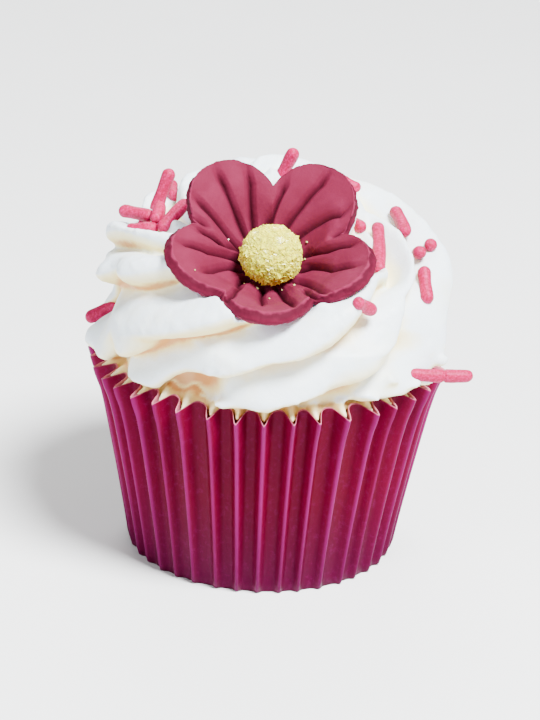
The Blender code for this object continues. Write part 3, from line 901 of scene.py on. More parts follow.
@dataclass
class PaperCase:
    """The pleated paper case, with sharp outward folds and rounded inward ones."""

    pleats: int = 39
    points_per_pleat: int = 16
    height: float = 27.7
    top_radius: float = 23.6
    base_radius: float = 18.05
    flare: float = 1.1
    corner: float = 0.8
    corner_inset: float = 0.5
    paper: float = 0.25
    rim_depth: float = 2.4
    base_depth: float = 1.1
    rim_drop: float = 1.15
    sharpness: float = 3.2
    foot_share: float = 0.45
    foot_row: tuple[float, float] = (0.3, 0.4)
    wall_rows: int = 30
    wall_end: float = 0.985
    wall_spread: float = 0.9
    rim_rows: tuple[float, float] = (0.992, 1.0)
    rim_start: float = 0.7
    lip_start: float = 0.86
    lip_flare: float = 0.35
    unevenness: float = 0.16
    fold_shift: float = 0.07
    rim_unevenness: float = 0.25
    seed: int = 4

    def ridge_radius(self, height: float) -> float:
        """Radius of the outward folds at a height."""
        share = min(1.0, max(0.0, height / self.height))
        return self.base_radius + (self.top_radius - self.base_radius) * share**self.flare

    def pleat_depth(self, height: float) -> float:
        """How far the inward folds lie inside the outward ones at a height."""
        share = min(1.0, max(0.0, height / self.height))
        return self.base_depth + (self.rim_depth - self.base_depth) * share

    def folds(self) -> tuple[Array, Array, Array]:
        """Lay out the folds round the case, each a little unlike the next.

        Returns:
            The azimuths of the columns, how far outward each stands from 0 to 1, and each one's rim drop.
        """
        chance = np.random.default_rng(self.seed)
        columns = self.pleats * self.points_per_pleat
        turn = even_turn(columns) - math.pi / 2
        pleat = self.pleats * (turn + math.pi / 2) / FULL_TURN
        shifts = chance.normal(0, self.fold_shift, self.pleats + 1)
        shift = np.interp(pleat, np.arange(self.pleats + 1), shifts)
        shift *= smooth_step(0, 1, pleat) * smooth_step(self.pleats, self.pleats - 1, pleat)
        phase = FULL_TURN * (pleat + shift)
        outward = ((1 + np.cos(phase)) / 2) ** self.sharpness
        nearest = np.round(pleat).astype(int) % self.pleats
        outward = outward * (1 - self.unevenness * chance.random(self.pleats)[nearest])
        drop = self.rim_drop * (1 - np.abs(np.sin(phase / 2)))
        drop += self.rim_unevenness * chance.random(self.pleats)[nearest]
        return turn, outward, drop

    def wall_row(self, height: float, inset: float, inner: bool) -> tuple[Array, Array]:
        """One row of the wall.

        Args:
            height: Its height before the rim is dropped.
            inset: How far it stands inside the plain wall, as at the rounded foot.
            inner: Whether it is on the inner face of the paper.

        Returns:
            Its points and how far outward each stands.
        """
        turn, outward, drop = self.folds()
        fade = self.foot_share + (1 - self.foot_share) * float(smooth_step(0.0, self.corner, height))
        radius = self.ridge_radius(height) - inset - self.pleat_depth(height) * (1 - outward) * fade
        if inner:
            radius = radius - self.paper
        lip = float(smooth_step(self.lip_start, 1.0, height / self.height))
        radius = radius + self.lip_flare * lip * outward
        level = height - drop * float(smooth_step(self.rim_start, 1.0, height / self.height))
        return ring_points(radius, turn, level), outward

    def mesh(self) -> bpy.types.Mesh:
        """Loft the outer wall from the base to the rim and the inner wall back down.

        Returns:
            The case's mesh, with its folds, its inside and its heights marked.
        """
        wall = np.linspace(0, self.wall_end, self.wall_rows) ** self.wall_spread
        heights = self.height * np.append(wall, self.rim_rows)
        foot_level, foot_inset = self.foot_row
        outer = [(0.0, self.corner_inset, False)]
        outer += [(self.corner * foot_level, self.corner_inset * foot_inset, False)]
        outer += [(height, 0.0, False) for height in heights if height >= self.corner]
        inner = [(height, inset, True) for height, inset, _ in reversed(outer)]
        rows, folds, inside, levels = [], [], [], []
        for height, inset, within in [*outer, *inner]:
            points, outward = self.wall_row(height, inset, within)
            if within:
                points[:, 2] = np.maximum(points[:, 2], self.paper)
            rows.append(points)
            folds.append(outward)
            inside.append(np.full(len(outward), float(within)))
            levels.append(np.full(len(outward), height / self.height))
        mesh = lofted("paper_case_skin", np.array(rows), on_axis(0.0), on_axis(self.paper))
        for mark, values, last in (
            (Mark.FOLD, folds, 0.0),
            (Mark.INSIDE, inside, 1.0),
            (Mark.HEIGHT, levels, 0.0),
        ):
            set_mark(mesh, mark, np.append(np.array(values).ravel(), (0.0, last)))
        return mesh

    def build(self) -> None:
        """Make the case and put it in the frame."""
        finish = CasePaperFinish().material()
        put_in_frame("pleated_case", self.mesh(), finish, Node.PAPER_CASE)


@dataclass
class Sponge:
    """The golden sponge under the icing, with an open crumb."""

    edge_height: float = 25.9
    dome: float = 2.2
    dome_curve: float = 2.4
    base_height: float = 3.0
    base_inset: float = 1.2
    floor: float = 0.75
    wall_gap: float = 0.75
    pit_depth: float = 0.3
    pit_size: float = 1.4
    smooth_foot: float = 0.1
    edge_round: float = 0.5
    middle_share: float = 0.03
    dome_rows: int = 30
    side_rows: int = 26
    columns: int = 220

    def mesh(self, case: PaperCase) -> bpy.types.Mesh:
        """Turn the sponge's outline and roughen it inward.

        Args:
            case: The case that it fills.

        Returns:
            The crumbed mesh.
        """
        edge = case.ridge_radius(self.edge_height) - case.pleat_depth(self.edge_height) - self.wall_gap
        outline = []
        for share in np.linspace(self.middle_share, 1.0, self.dome_rows):
            outline.append((edge * share, self.edge_height + self.dome * (1 - share**self.dome_curve)))
        for height in np.linspace(self.edge_height - self.edge_round, self.base_height, self.side_rows):
            outline.append((case.ridge_radius(height) - case.pleat_depth(height) - self.wall_gap, height))
        last = outline[-1][0]
        outline += [(last - self.base_inset, self.floor), (last / 2, self.floor)]
        turn = even_turn(self.columns)
        rows = np.array([ring_points(radius, turn, height) for radius, height in outline])
        mesh = lofted("sponge_skin", rows, on_axis(outline[0][1]), on_axis(self.floor))
        points = points_of(mesh)
        pits = np.abs(fractal_noise(points, self.pit_size)) * self.pit_depth
        pits[points[:, 2] < self.floor + self.smooth_foot] = 0
        raise_points(mesh, points, -pits)
        return mesh

    def build(self, case: PaperCase) -> None:
        """Make the sponge and put it in the frame."""
        put_in_frame("sponge_crumb", self.mesh(case), SpongeFinish().material(), Node.SPONGE)


@dataclass(frozen=True)
class Flute:
    """One groove pressed in the flower, by its angles in degrees at three places on the way out."""

    near: float
    middle: float
    far: float
    end: float = 1.02
    start: float = 0.1
    depth: float = 1.0
    fade_length: float = 0.22
    places: tuple[float, float, float] = (0.4, 0.6, 0.8)

    def heading(self, share: Array) -> Array:
        """Its angle in radians at shares of the way out."""
        return np.radians(np.interp(share, self.places, (self.near, self.middle, self.far)))

    def fade(self, share: Array) -> Array:
        """How much of its depth it has at shares of the way out."""
        rise = smooth_step(self.start, self.start + self.fade_length, share)
        return self.depth * rise * (1 - smooth_step(self.end - self.fade_length, self.end, share))


@dataclass
class SugarFlower:
    """The five-petalled flower of rolled sugar paste, fluted with a pointed tool."""

    petal_angles: tuple[float, ...] = (-90.0, -19.5, 56.0, 131.0, 201.5)
    petal_lengths: tuple[float, ...] = (15.1, 15.6, 15.8, 16.05, 15.7)
    petal_rounds: tuple[float, ...] = (6.7, 6.6, 6.7, 6.8, 6.9)
    petal_spread: float = 60.0
    flutes: tuple[Flute, ...] = (
        Flute(151.5, 150.7, 150.7),
        Flute(131.3, 129.2, 128.0),
        Flute(118.3, 113.6, 110.0),
        Flute(106.0, 95.0, 85.5),
        Flute(79.0, 67.5, 61.0),
        Flute(56.5, 43.5, 34.0, end=0.98),
        Flute(30.0, 26.0, 20.0, end=1.1, start=0.66, depth=0.8),
        Flute(27.0, 10.0, 5.0, end=0.98),
        Flute(-1.0, -16.0, -16.0, end=0.92),
        Flute(-32.0, -41.0, -46.0, depth=0.9),
        Flute(-47.0, -49.0, -53.0, end=1.2, start=0.5),
        Flute(-70.5, -72.5, -70.5, end=0.96),
        Flute(-99.5, -94.0, -92.0, end=0.84),
        Flute(-138.0, -123.5, -117.0, end=1.2),
        Flute(193.0, 207.5, 214.5, end=0.82),
        Flute(174.0, 185.5, 188.0, end=0.96),
        Flute(154.0, 168.5, 170.0, end=0.98),
        Flute(158.0, 161.0, 163.0, end=1.1, start=0.66, depth=0.8),
    )
    flute_half_width: float = 2.2
    flute_line: float = 0.85
    flute_pad: float = 0.36
    flute_depth: float = 1.25
    pad_sharpness: float = 2.0
    line_sharpness: float = 1.2
    thickness: float = 1.9
    notch_reach: float = 9.0
    place_at: Point = (0.0, -8.4, 40.8)
    turn: float = -2.5
    tilt: float = 31.0
    cup: float = 27.0
    cup_bend: tuple[float, float] = (0.0, 0.4)
    cup_rise: tuple[float, float] = (0.08, 0.78)
    middle_share: float = 0.06
    columns: int = 720
    under_rows: int = 16
    face_rows: int = 56
    hollow_columns: int = 180
    hollow_rows: int = 12
    hollow_middle: float = 0.1
    side_outline: tuple[tuple[float, float], ...] = (
        (0.97, 0.0),
        (0.985, 0.05),
        (0.995, 0.15),
        (1.0, 0.3),
        (0.995, 0.42),
        (0.982, 0.56),
        (0.965, 0.7),
        (0.948, 0.83),
        (0.934, 0.93),
        (0.926, 0.98),
        (0.918, 1.0),
        (0.908, 1.0),
        (0.898, 0.985),
    )
    lip: float = 0.918
    near_slant: float = 1.35
    far_slant: float = 0.35
    side_marks: tuple[float, float] = (0.3, 0.7)
    ragged_mark: float = 0.12
    ragged_size: float = 1.6
    roughness: float = 0.13
    rough_size: float = 1.1
    rough_flatness: float = 2.5
    face_share: float = 0.1
    waviness: float = 0.12
    wave_size: float = 5.0

    def matrix(self) -> Matrix:
        """The flower's place: its own Z is its axis and its own Y points up the far petals.

        Returns:
            What moves points of its own space, in millimetres, to where it lies.
        """
        tilt = Matrix.Rotation(math.radians(self.tilt), 4, "X")
        turn = Matrix.Rotation(math.radians(self.turn), 4, "Z")
        return Matrix.Translation(self.place_at) @ tilt @ turn

    def placed(self, points: Array) -> Array:
        """Points of the flower's own space moved to where it lies."""
        matrix = np.array(self.matrix())
        return points @ matrix[:3, :3].T + matrix[:3, 3]

    def petal_offset(self, angle: Array, petal: int) -> Array:
        """Signed angle in radians from the middle of a petal."""
        return (angle - math.radians(self.petal_angles[petal]) + math.pi) % FULL_TURN - math.pi

    def reach(self, angle: Array) -> Array:
        """Length of the outline in some directions.

        Args:
            angle: Directions in radians from the flower's own +X.

        Returns:
            The length in each.
        """
        longest = np.zeros_like(angle)
        for petal, (length, rounding) in enumerate(zip(self.petal_lengths, self.petal_rounds)):
            offset = self.petal_offset(angle, petal)
            centre = length - rounding
            inside = rounding**2 - (centre * np.sin(offset)) ** 2
            near = (np.abs(offset) < math.radians(self.petal_spread)) & (inside > 0)
            length_here = centre * np.cos(offset) + np.sqrt(np.maximum(inside, 0))
            longest = np.where(near, np.maximum(longest, length_here), longest)
        return np.where(longest > 0, longest, self.notch_reach)

    def crease(self, angle: Array, share: Array | float) -> Array:
        """How deep the flutes are, from 0 to 1.

        Args:
            angle: Directions in radians.
            share: Shares of the way from the middle to the outline.

        Returns:
            The depth in each direction, where 1 is the bottom of a flute.
        """
        deepest = np.zeros_like(angle)
        radius = self.reach(angle) * share
        for flute in self.flutes:
            offset = (angle - flute.heading(share) + math.pi) % FULL_TURN - math.pi
            away = np.abs(offset) * radius
            pad = np.clip(1 - away / self.flute_half_width, 0, 1) ** self.pad_sharpness
            line = np.clip(1 - away / self.flute_line, 0, 1) ** self.line_sharpness
            deep = self.flute_pad * pad + (1 - self.flute_pad) * line
            deepest = np.maximum(deepest, deep * flute.fade(share))
        return deepest

    def surface(self, angle: Array, share: Array | float, lift: Array | float, grown: float = 0.0) -> Array:
        """Points of the flower in its own space.

        Args:
            angle: Directions in radians.
            share: Shares of the way from the middle to the outline.
            lift: Distance above its underside, along its axis.
            grown: How much larger its outline is made.

        Returns:
            One point for each direction.
        """
        reach = (self.reach(angle) + grown) * share
        cup = math.radians(self.cup)
        run = reach * np.cos(cup * smooth_step(*self.cup_bend, share))
        rise = reach * math.sin(cup) * smooth_step(*self.cup_rise, share)
        return ring_points(run, angle, rise + lift)

    def skin(self, name: str, rows: list[Array], low: float, high: float) -> bpy.types.Mesh:
        """Loft rows of the flower's own space into a skin where the flower lies.

        Args:
            name: The mesh's name.
            rows: The rows of points.
            low: Height on the flower's axis of the point that closes the first row.
            high: Height on the axis of the point that closes the last row.

        Returns:
            The closed mesh.
        """
        lain = self.placed(np.array(rows).reshape(-1, 3)).reshape(len(rows), -1, 3)
        ends = self.placed(np.array([[0.0, 0.0, low], [0.0, 0.0, high]]))
        return lofted(name, lain, ends[:1], ends[1:])

    def hollow_mesh(self, gap: float, height: float) -> bpy.types.Mesh:
        """The space that the flower presses into the icing, with everything above it.

        Args:
            gap: Clearance round the flower.
            height: How far the space goes up.

        Returns:
            A closed mesh to cut with.
        """
        angle = even_turn(self.hollow_columns)
        shares = np.linspace(self.hollow_middle, 1.0, self.hollow_rows)
        rows = [self.surface(angle, share, -gap, gap) for share in shares]
        rows += [self.surface(angle, share, height, gap) for share in reversed(shares)]
        return self.skin("hollow", rows, -gap, height)

    def steps(self) -> list[tuple[float, float, float, float]]:
        """The flower's rows, from the middle of its underside over its cut side to the middle of its face.

        Returns:
            For each row its share of the way out, its height, how far it is pressed by the flutes, and its
            mark for the cut side.
        """
        inner, outer = self.side_outline[-1][0], self.side_outline[0][0]
        under = np.linspace(self.middle_share, outer, self.under_rows)[:-1]
        face = np.linspace(inner, self.middle_share, self.face_rows)[1:]
        least, more = self.side_marks
        steps = [(share, 0.0, 0.0, 1.0) for share in under]
        for share, height in self.side_outline:
            cut = 0.0 if share < self.lip else least + more * (1 - height)
            steps.append((share, self.thickness * height, float(smooth_step(0.5, 1.0, height)), cut))
        top = self.thickness * self.side_outline[-1][1]
        return steps + [(share, top, 1.0, 0.0) for share in face]

    def mesh(self) -> bpy.types.Mesh:
        """Loft the underside, the cut side and the fluted face, and roughen the side.

        Returns:
            The flower's mesh, with its creases and its cut side marked.
        """
        angle = even_turn(self.columns)
        near = (1 - np.sin(angle)) / 2
        slant = self.far_slant + (self.near_slant - self.far_slant) * near
        inner = self.side_outline[-1][0]
        rows, creases, sides = [], [], []
        for share, lift, pressed, cut in self.steps():
            leaning = smooth_step(self.middle_share, inner, share) * pressed
            reached = 1 - (1 - share) * (1 + (slant - 1) * leaning)
            crease = self.crease(angle, reached) * pressed
            rows.append(self.surface(angle, reached, lift - self.flute_depth * crease))
            creases.append(crease)
            sides.append(np.full(self.columns, cut))
        mesh = self.skin("flower_skin", rows, 0.0, self.thickness)
        side = np.append(np.array(sides).ravel(), (0, 0))
        points = points_of(mesh)
        set_mark(mesh, Mark.CREASE, np.append(np.array(creases).ravel(), (0, 0)))
        ragged = fractal_noise(points, self.ragged_size) * (side > 0)
        set_mark(mesh, Mark.SIDE, np.clip(side + self.ragged_mark * ragged, 0, 1))
        grain = fractal_noise(points * (1.0, 1.0, self.rough_flatness), self.rough_size, octaves=4)
        rough = grain * self.roughness * (self.face_share + (side > 0))
        rough += fractal_noise(points, self.wave_size, octaves=2) * self.waviness
        raise_points(mesh, points, rough)
        return mesh

    def build(self) -> None:
        """Make the flower and put it in the frame."""
        finish = SugarPasteFinish().material()
        put_in_frame("fluted_flower", self.mesh(), finish, Node.FLOWER)


@dataclass
class SugarBall:
    """The ball in the flower's dish, rolled in coarse sugar."""

    radius: float = 3.5
    solid_radius: float = 3.8
    seat: float = 0.5
    gap: float = 0.3
    core_divisions: int = 5
    core_unevenness: float = 0.015
    core_bumps: float = 2.0
    grains: int = 1700
    grain_size: tuple[float, float] = (0.34, 0.6)
    corner_spread: tuple[float, float] = (0.8, 1.15)
    grain_flatness: float = 0.8
    grain_proud: float = 0.2
    grain_seat: float = 1.01
    grain_jitter: float = 0.03
    bare_foot: float = 0.8
    large_grains: float = 0.08
    large_size: float = 1.4
    clear_grains: float = 0.02
    stray_grains: int = 12
    stray_size: float = 0.4
    far_strays: float = 0.6
    far_shares: tuple[float, float] = (0.36, 0.9)
    near_shares: tuple[float, float] = (0.33, 0.42)
    stray_lift: float = 0.1
    stray_upward: float = 0.4
    plain_shades: float = 0.85
    seed: int = 7

    def lift(self, flower: SugarFlower) -> float:
        """Find where the ball rests in the flower's dish.

        Args:
            flower: The flower that carries it.

        Returns:
            Height of the ball's centre above the flower's underside.
        """
        seat = self.solid_radius * math.sqrt(1 - self.seat**2)
        ahead = np.array([0.0])
        share = seat / float(flower.reach(ahead)[0])
        face = flower.surface(ahead, share, flower.thickness)[0, 2]
        return float(face) + self.gap + self.solid_radius * self.seat

    def core(self, flower: SugarFlower) -> bpy.types.Mesh:
        """The round core, flattened where it sits.

        Args:
            flower: The flower that carries the ball.

        Returns:
            The core's mesh.
        """
        mesh = round_lump("ball_core", self.core_divisions, self.radius)
        points = points_of(mesh)
        points *= 1 + self.core_unevenness * fractal_noise(points, self.core_bumps)[:, None]
        points[:, 2] = np.maximum(points[:, 2], -self.solid_radius * self.seat)
        points[:, 2] += self.lift(flower)
        move_points(mesh, flower.placed(points))
        return mesh

    def grain(self, chance: random.Random, centre: Vector, outward: Vector, stray: bool) -> Array:
        """Eight corners of one uneven sugar crystal.

        Args:
            chance: The source of its size and turn.
            centre: Where it sits.
            outward: The way that the surface faces there.
            stray: Whether it has fallen on the petals.

        Returns:
            Its corners.
        """
        size = chance.uniform(*self.grain_size)
        if stray:
            size *= self.stray_size
        elif chance.random() < self.large_grains:
            size *= self.large_size
        axis = Vector((chance.gauss(0, 1), chance.gauss(0, 1), chance.gauss(0, 1))).normalized()
        turn = Quaternion(axis, chance.uniform(0, math.pi)).to_matrix()
        corners = []
        for k in range(8):
            corner = Vector((k & 1, k >> 1 & 1, k >> 2 & 1)) - Vector((0.5, 0.5, 0.5))
            corner *= size * chance.uniform(*self.corner_spread)
            corner.z *= self.grain_flatness
            corners.append(centre + turn @ corner + outward * size * self.grain_proud)
        return np.array(corners)

    def grain_places(
        self, flower: SugarFlower, chance: random.Random
    ) -> list[tuple[Vector, Vector, bool]]:
        """Where the grains sit, on the ball and a few strays on the petals.

        Args:
            flower: The flower that carries the ball.
            chance: The source of the scatter.

        Returns:
            For each its place and outward way, in the flower's own space, and whether it is a stray.
        """
        lift = self.lift(flower)
        places = []
        golden = math.pi * (3 - math.sqrt(5))
        for k in range(self.grains):
            level = 1 - 2 * (k + 0.5) / self.grains
            if level < -self.seat * self.bare_foot:
                continue
            around = golden * k + chance.uniform(-self.grain_jitter, self.grain_jitter)
            ring = math.sqrt(1 - level * level)
            outward = Vector((ring * math.cos(around), ring * math.sin(around), level))
            place = outward * self.radius * self.grain_seat + Vector((0, 0, lift))
            places.append((place, outward, False))
        for _ in range(self.stray_grains):
            angle = np.array([chance.uniform(0, FULL_TURN)])
            shares = self.far_shares if chance.random() < self.far_strays else self.near_shares
            share = chance.uniform(*shares)
            crease = float(flower.crease(angle, share)[0])
            lift_here = flower.thickness - flower.flute_depth * crease + self.stray_lift
            place = Vector(flower.surface(angle, share, lift_here)[0])
            places.append((place, Vector((0, 0, self.stray_upward)), True))
        return places

    def coating(self, flower: SugarFlower) -> bpy.types.Mesh:
        """All the grains as one mesh.

        Args:
            flower: The flower that carries the ball.

        Returns:
            The mesh, with a shade of yellow marked for each grain.
        """
        chance = random.Random(self.seed)
        sides = ((0, 1, 3, 2), (4, 6, 7, 5), (0, 4, 5, 1), (2, 3, 7, 6), (0, 2, 6, 4), (1, 5, 7, 3))
        points, faces, shades = [], [], []
        for centre, outward, stray in self.grain_places(flower, chance):
            base = 8 * len(points)
            points.append(self.grain(chance, centre, outward, stray))
            faces += [tuple(base + k for k in side) for side in sides]
            clear = stray or chance.random() < self.clear_grains
            shades += [1.0 if clear else self.plain_shades * chance.random()] * 8
        mesh = closed_mesh("grains", flower.placed(np.vstack(points)), faces)
        set_mark(mesh, Mark.GRAIN, np.array(shades))
        return mesh

    def build(self, flower: SugarFlower) -> None:
        """Make the core and the grains and put them in the frame.

        Args:
            flower: The flower that carries the ball.
        """
        finish, node, slot = SugarBallFinish(), Node.FLOWER_CENTRE, Slot.SUGAR_BALL
        core, grains = finish.material(clear=False), finish.material(clear=True)
        put_in_frame("sugar_ball_core", self.core(flower), core, node)
        coat = put_in_frame("sugar_grains", self.coating(flower), grains, node)
        coat.data.shade_flat()


@dataclass(frozen=True)
class PaintedIcingShade:
    """How much painted shade each place of the icing gets, from 0 on a crest to 1 deep in a recess."""

    base: float = 0.31
    fine: float = 0.3
    wide: float = 0.5
    wide_limits: tuple[float, float] = (-0.15, 1.0)
    facing_up: float = 0.4
    up_span: tuple[float, float] = (0.6, -0.1)
    under: float = 0.52
    under_level: float = 0.45
    layer: float = 0.46
    layer_wide: float = 0.4
    layer_limit: float = 0.8
    layer_away: tuple[float, float] = (0.12, 0.4)
    layer_heights: tuple[float, float] = (30.8, 29.8)

    def depths(self, points: Array, normals: Array, hollow: Array, wide: Array, piped: BVHTree) -> Array:
        """Add up the painted shade on the icing: in fine grooves and wide hollows, on faces turned down,
        and on the first layer, where it is warm with painted reflected light.

        Args:
            points: The icing's points in millimetres.
            normals: Their normals.
            hollow: How deep each lies in a fine groove, in millimetres.
            wide: How deep each lies in a wide hollow, in millimetres.
            piped: The surface of the piped turns, which tells them from the first layer.

        Returns:
            A number from 0 to 1 for each point.
        """
        # Painted shade on faces turned down.
        under = np.clip(self.under_level - normals[:, 2], 0, 1)
        away = np.array([piped.find_nearest(point * MM)[3] / MM for point in points])
        spread = smooth_step(*self.layer_away, away) * smooth_step(*self.layer_heights, points[:, 2])
        # Faces turned up get less of the wide painted shade.
        shaded = self.facing_up + (1 - self.facing_up) * smooth_step(*self.up_span, normals[:, 2])
        broad = np.clip(wide, *self.wide_limits) * self.wide * shaded
        depth = self.base + hollow * self.fine + broad + under * self.under
        # Warm painted shade with painted reflected light on the first layer, away from the piped turns.
        depth += spread * (self.layer + self.layer_wide * np.clip(wide, 0, self.layer_limit))
        return np.clip(depth, 0, 1)


@dataclass
class IcingSwirl:
    """The piped swirl: a lobed lower turn, an upper turn with its peak, and the soft layer below."""

    ring_radius: float = 14.4
    half_width: float = 8.6
    ring_height: float = 35.6
    half_height: float = 8.9
    squareness: float = 0.86
    underside_squareness: float = 0.45
    back_rise: float = 2.0
    inner_angle: float = 125.0
    lowest_angle: float = -64.0
    hollow_height: float = 42.5
    underside: tuple[float, float] = (19.2, 11.7)
    lowest: float = 27.6
    rim_radius: float = 20.0
    rim_top: float = 28.05
    lobe_depth: float = 3.6
    lobe_mean: float = 0.66
    lobe_skew: float = 2.0
    lobe_droop: float = 1.3
    lobe_fullness: float = 0.75
    full_width: float = 34.0
    crossing_spread: float = 3.0
    crossing_samples: int = 5
    lobes_start: tuple[float, float] = (-89.0, -50.0)
    lobes_end: tuple[float, float] = (95.0, 135.0)
    columns: int = 520
    rows: int = 120
    coil_turns: float = 1.3
    coil_start: float = 235.0
    coil_radius: float = 7.6
    coil_centre: Point = (-1.0, 2.5, 0.0)
    coil_base: float = 43.5
    coil_peak: float = 49.6
    coil_end_radius: float = 1.0
    coil_climb: float = 1.4
    coil_wind: tuple[float, float] = (0.15, 1.0)
    coil_thinning: tuple[float, float] = (0.35, 1.0)
    coil_opening: tuple[float, float] = (-0.02, 0.1)
    coil_tail: float = 0.35
    coil_drift: Point = (-0.4, 2.2, 0.0)
    coil_tip: Point = (0.5, 0.6, 1.6)
    coil_thickness: float = 5.4
    coil_tip_thickness: float = 1.6
    coil_steps: int = 200
    coil_sides: int = 84
    coil_lobes: int = 6
    coil_lobe_depth: float = 0.16
    scrap_divisions: int = 3
    scrap_unevenness: float = 0.5
    scrap_bumps: float = 0.7
    layer_radius: float = 20.1
    layer_top: float = 29.6
    layer_floor: float = 26.3
    layer_gap: float = 0.12
    layer_fill: float = 0.9
    layer_pull: float = 4.0
    layer_wave: float = 0.15
    layer_wave_rise: float = 0.25
    layer_wave_reach: float = 20.0
    layer_wave_size: float = 5.0
    layer_outline: tuple[tuple[float, float], ...] = (
        (0.5, 1.0),
        (0.86, 0.9),
        (0.93, 0.62),
        (0.98, 0.3),
        (1.0, 0.12),
        (1.0, 0.0),
        (0.75, 0.0),
    )
    voxel: float = 0.3
    smooth_rounds: int = 3
    groove_rounds: int = 60
    coarse_voxel: float = 0.9
    wide_rounds: int = 45
    depth_rounds: int = 3
    near_points: int = 3
    near_softness: float = 0.1
    ripple: float = 0.16
    ripple_size: float = 4.5
    crest_depth: float = 0.35
    crest_grain: float = 0.12
    crest_grain_size: float = 1.4
    press_gap: float = 0.2
    press_height: float = 16.0

    def crossings(self, angle: float) -> Array:
        """Find where the grooves cross a section angle, evened out over a few degrees.

        Args:
            angle: The section angle in degrees.

        Returns:
            The azimuth of each groove in degrees, and of the first one again a full turn on.
        """
        near = angle + np.linspace(-self.crossing_spread, self.crossing_spread, self.crossing_samples)
        found = [np.interp(near, GROOVE_ANGLES, groove).mean() for groove in GROOVES]
        return np.array([*found, found[0] + 360.0])

    def ring_row(self, lobes: Array, angle: float) -> Array:
        """One row of the lower turn.

        Args:
            lobes: For each point the number of the groove before it and its share of the way to the next.
            angle: Where the row lies on the section, in degrees from outward through up to inward.

        Returns:
            Its points.
        """
        number = np.floor(lobes).astype(int)
        share = lobes - number
        crossings = self.crossings(angle)
        low, high = crossings[number], crossings[number + 1]
        azimuth = np.radians(low + (high - low) * share)
        full = np.minimum(1.0, (high - low) / self.full_width)
        relief = full * np.sin(math.pi * share**self.lobe_skew) ** self.lobe_fullness
        fade = float(smooth_step(*self.lobes_start, angle) * (1 - smooth_step(*self.lobes_end, angle)))
        swell = self.lobe_depth * (relief - self.lobe_mean) * fade
        droop = self.lobe_droop * relief * fade
        section = math.radians(angle)
        square = self.underside_squareness if section < 0 else self.squareness
        across = signed_power(math.cos(section), square)
        upward = signed_power(math.sin(section), square)
        rise = self.back_rise * (1 + np.sin(azimuth)) / 4
        radius = self.ring_radius + (self.half_width + swell) * across + droop * math.sin(section)
        height = self.ring_height + rise + (self.half_height + rise + swell) * upward
        height = height - droop * math.cos(section)
        points = ring_points(radius, azimuth, height)
        pushed = points.copy()
        for centre, size, push in SHAPING:
            away = np.linalg.norm(points - np.array(centre), axis=1)
            pushed += np.exp(-((away / size) ** 2))[:, None] * np.array(push)
        return pushed

    def ring_mesh(self) -> bpy.types.Mesh:
        """The lower turn, closed over its hollow and its underside.

        Returns:
            Its mesh.
        """
        lobes = np.arange(self.columns) / self.columns * len(GROOVES)
        angles = np.linspace(self.inner_angle, self.lowest_angle, self.rows)
        rows = [self.ring_row(lobes, angle) for angle in angles]
        for row in rows:
            over_rim = np.linalg.norm(row[:, :2], axis=1) > self.rim_radius
            row[:, 2] = np.maximum(row[:, 2], np.where(over_rim, self.rim_top, self.lowest))
        outward = rows[0][:, :2] / np.linalg.norm(rows[0][:, :2], axis=1)[:, None]
        inner = np.linalg.norm(rows[0][:, :2], axis=1).min() / 2
        flat = np.zeros(self.columns)[:, None]
        rows.insert(0, np.hstack([outward * inner, flat + self.hollow_height]))
        for radius in self.underside:
            rows.append(np.hstack([outward * radius, flat + self.lowest]))
        return lofted("lower_turn", np.array(rows), on_axis(self.hollow_height), on_axis(self.lowest))

    def coil_mesh(self) -> bpy.types.Mesh:
        """The upper turn, a star section that winds in and up to the peak.

        Returns:
            Its mesh.
        """
        side = even_turn(self.coil_sides)
        rows = []
        for share in np.linspace(0, 1, self.coil_steps + 1):
            turn = math.radians(self.coil_start + 360.0 * self.coil_turns * share)
            wind = float(smooth_step(*self.coil_wind, share))
            radius = self.coil_radius + (self.coil_end_radius - self.coil_radius) * wind
            height = self.coil_base + (self.coil_peak - self.coil_base) * share**self.coil_climb
            thin = float(smooth_step(*self.coil_thinning, share))
            thick = self.coil_thickness + (self.coil_tip_thickness - self.coil_thickness) * thin
            thick *= self.coil_tail + (1 - self.coil_tail) * float(smooth_step(*self.coil_opening, share))
            outward = np.array([math.cos(turn), math.sin(turn), 0.0])
            centre = np.array(self.coil_centre) + outward * radius + np.array(self.coil_drift) * wind
            centre = centre + (0.0, 0.0, height)
            crest = np.abs(np.cos(0.5 * self.coil_lobes * (side - turn)))
            reach = (thick * (1 - self.coil_lobe_depth + 2 * self.coil_lobe_depth * crest))[:, None]
            around = np.cos(side)[:, None] * outward + np.sin(side)[:, None] * np.array([0.0, 0.0, 1.0])
            rows.append(centre + around * reach)
        start = rows[0].mean(axis=0, keepdims=True)
        peak = rows[-1].mean(axis=0, keepdims=True) + np.array(self.coil_tip)
        return lofted("upper_turn", np.array(rows), start, peak)

    def scrap_mesh(self, centre: Point, size: Point) -> bpy.types.Mesh:
        """A torn scrap of icing.

        Args:
            centre: Where it sticks to the rest.
            size: How far it reaches from there along each axis.

        Returns:
            A closed, uneven lump.
        """
        mesh = round_lump("scrap", self.scrap_divisions, 1.0)
        points = points_of(mesh)
        bumps = fractal_noise(points + centre, self.scrap_bumps)
        points *= 1 + self.scrap_unevenness * bumps[:, None]
        move_points(mesh, points * size + centre)
        return mesh

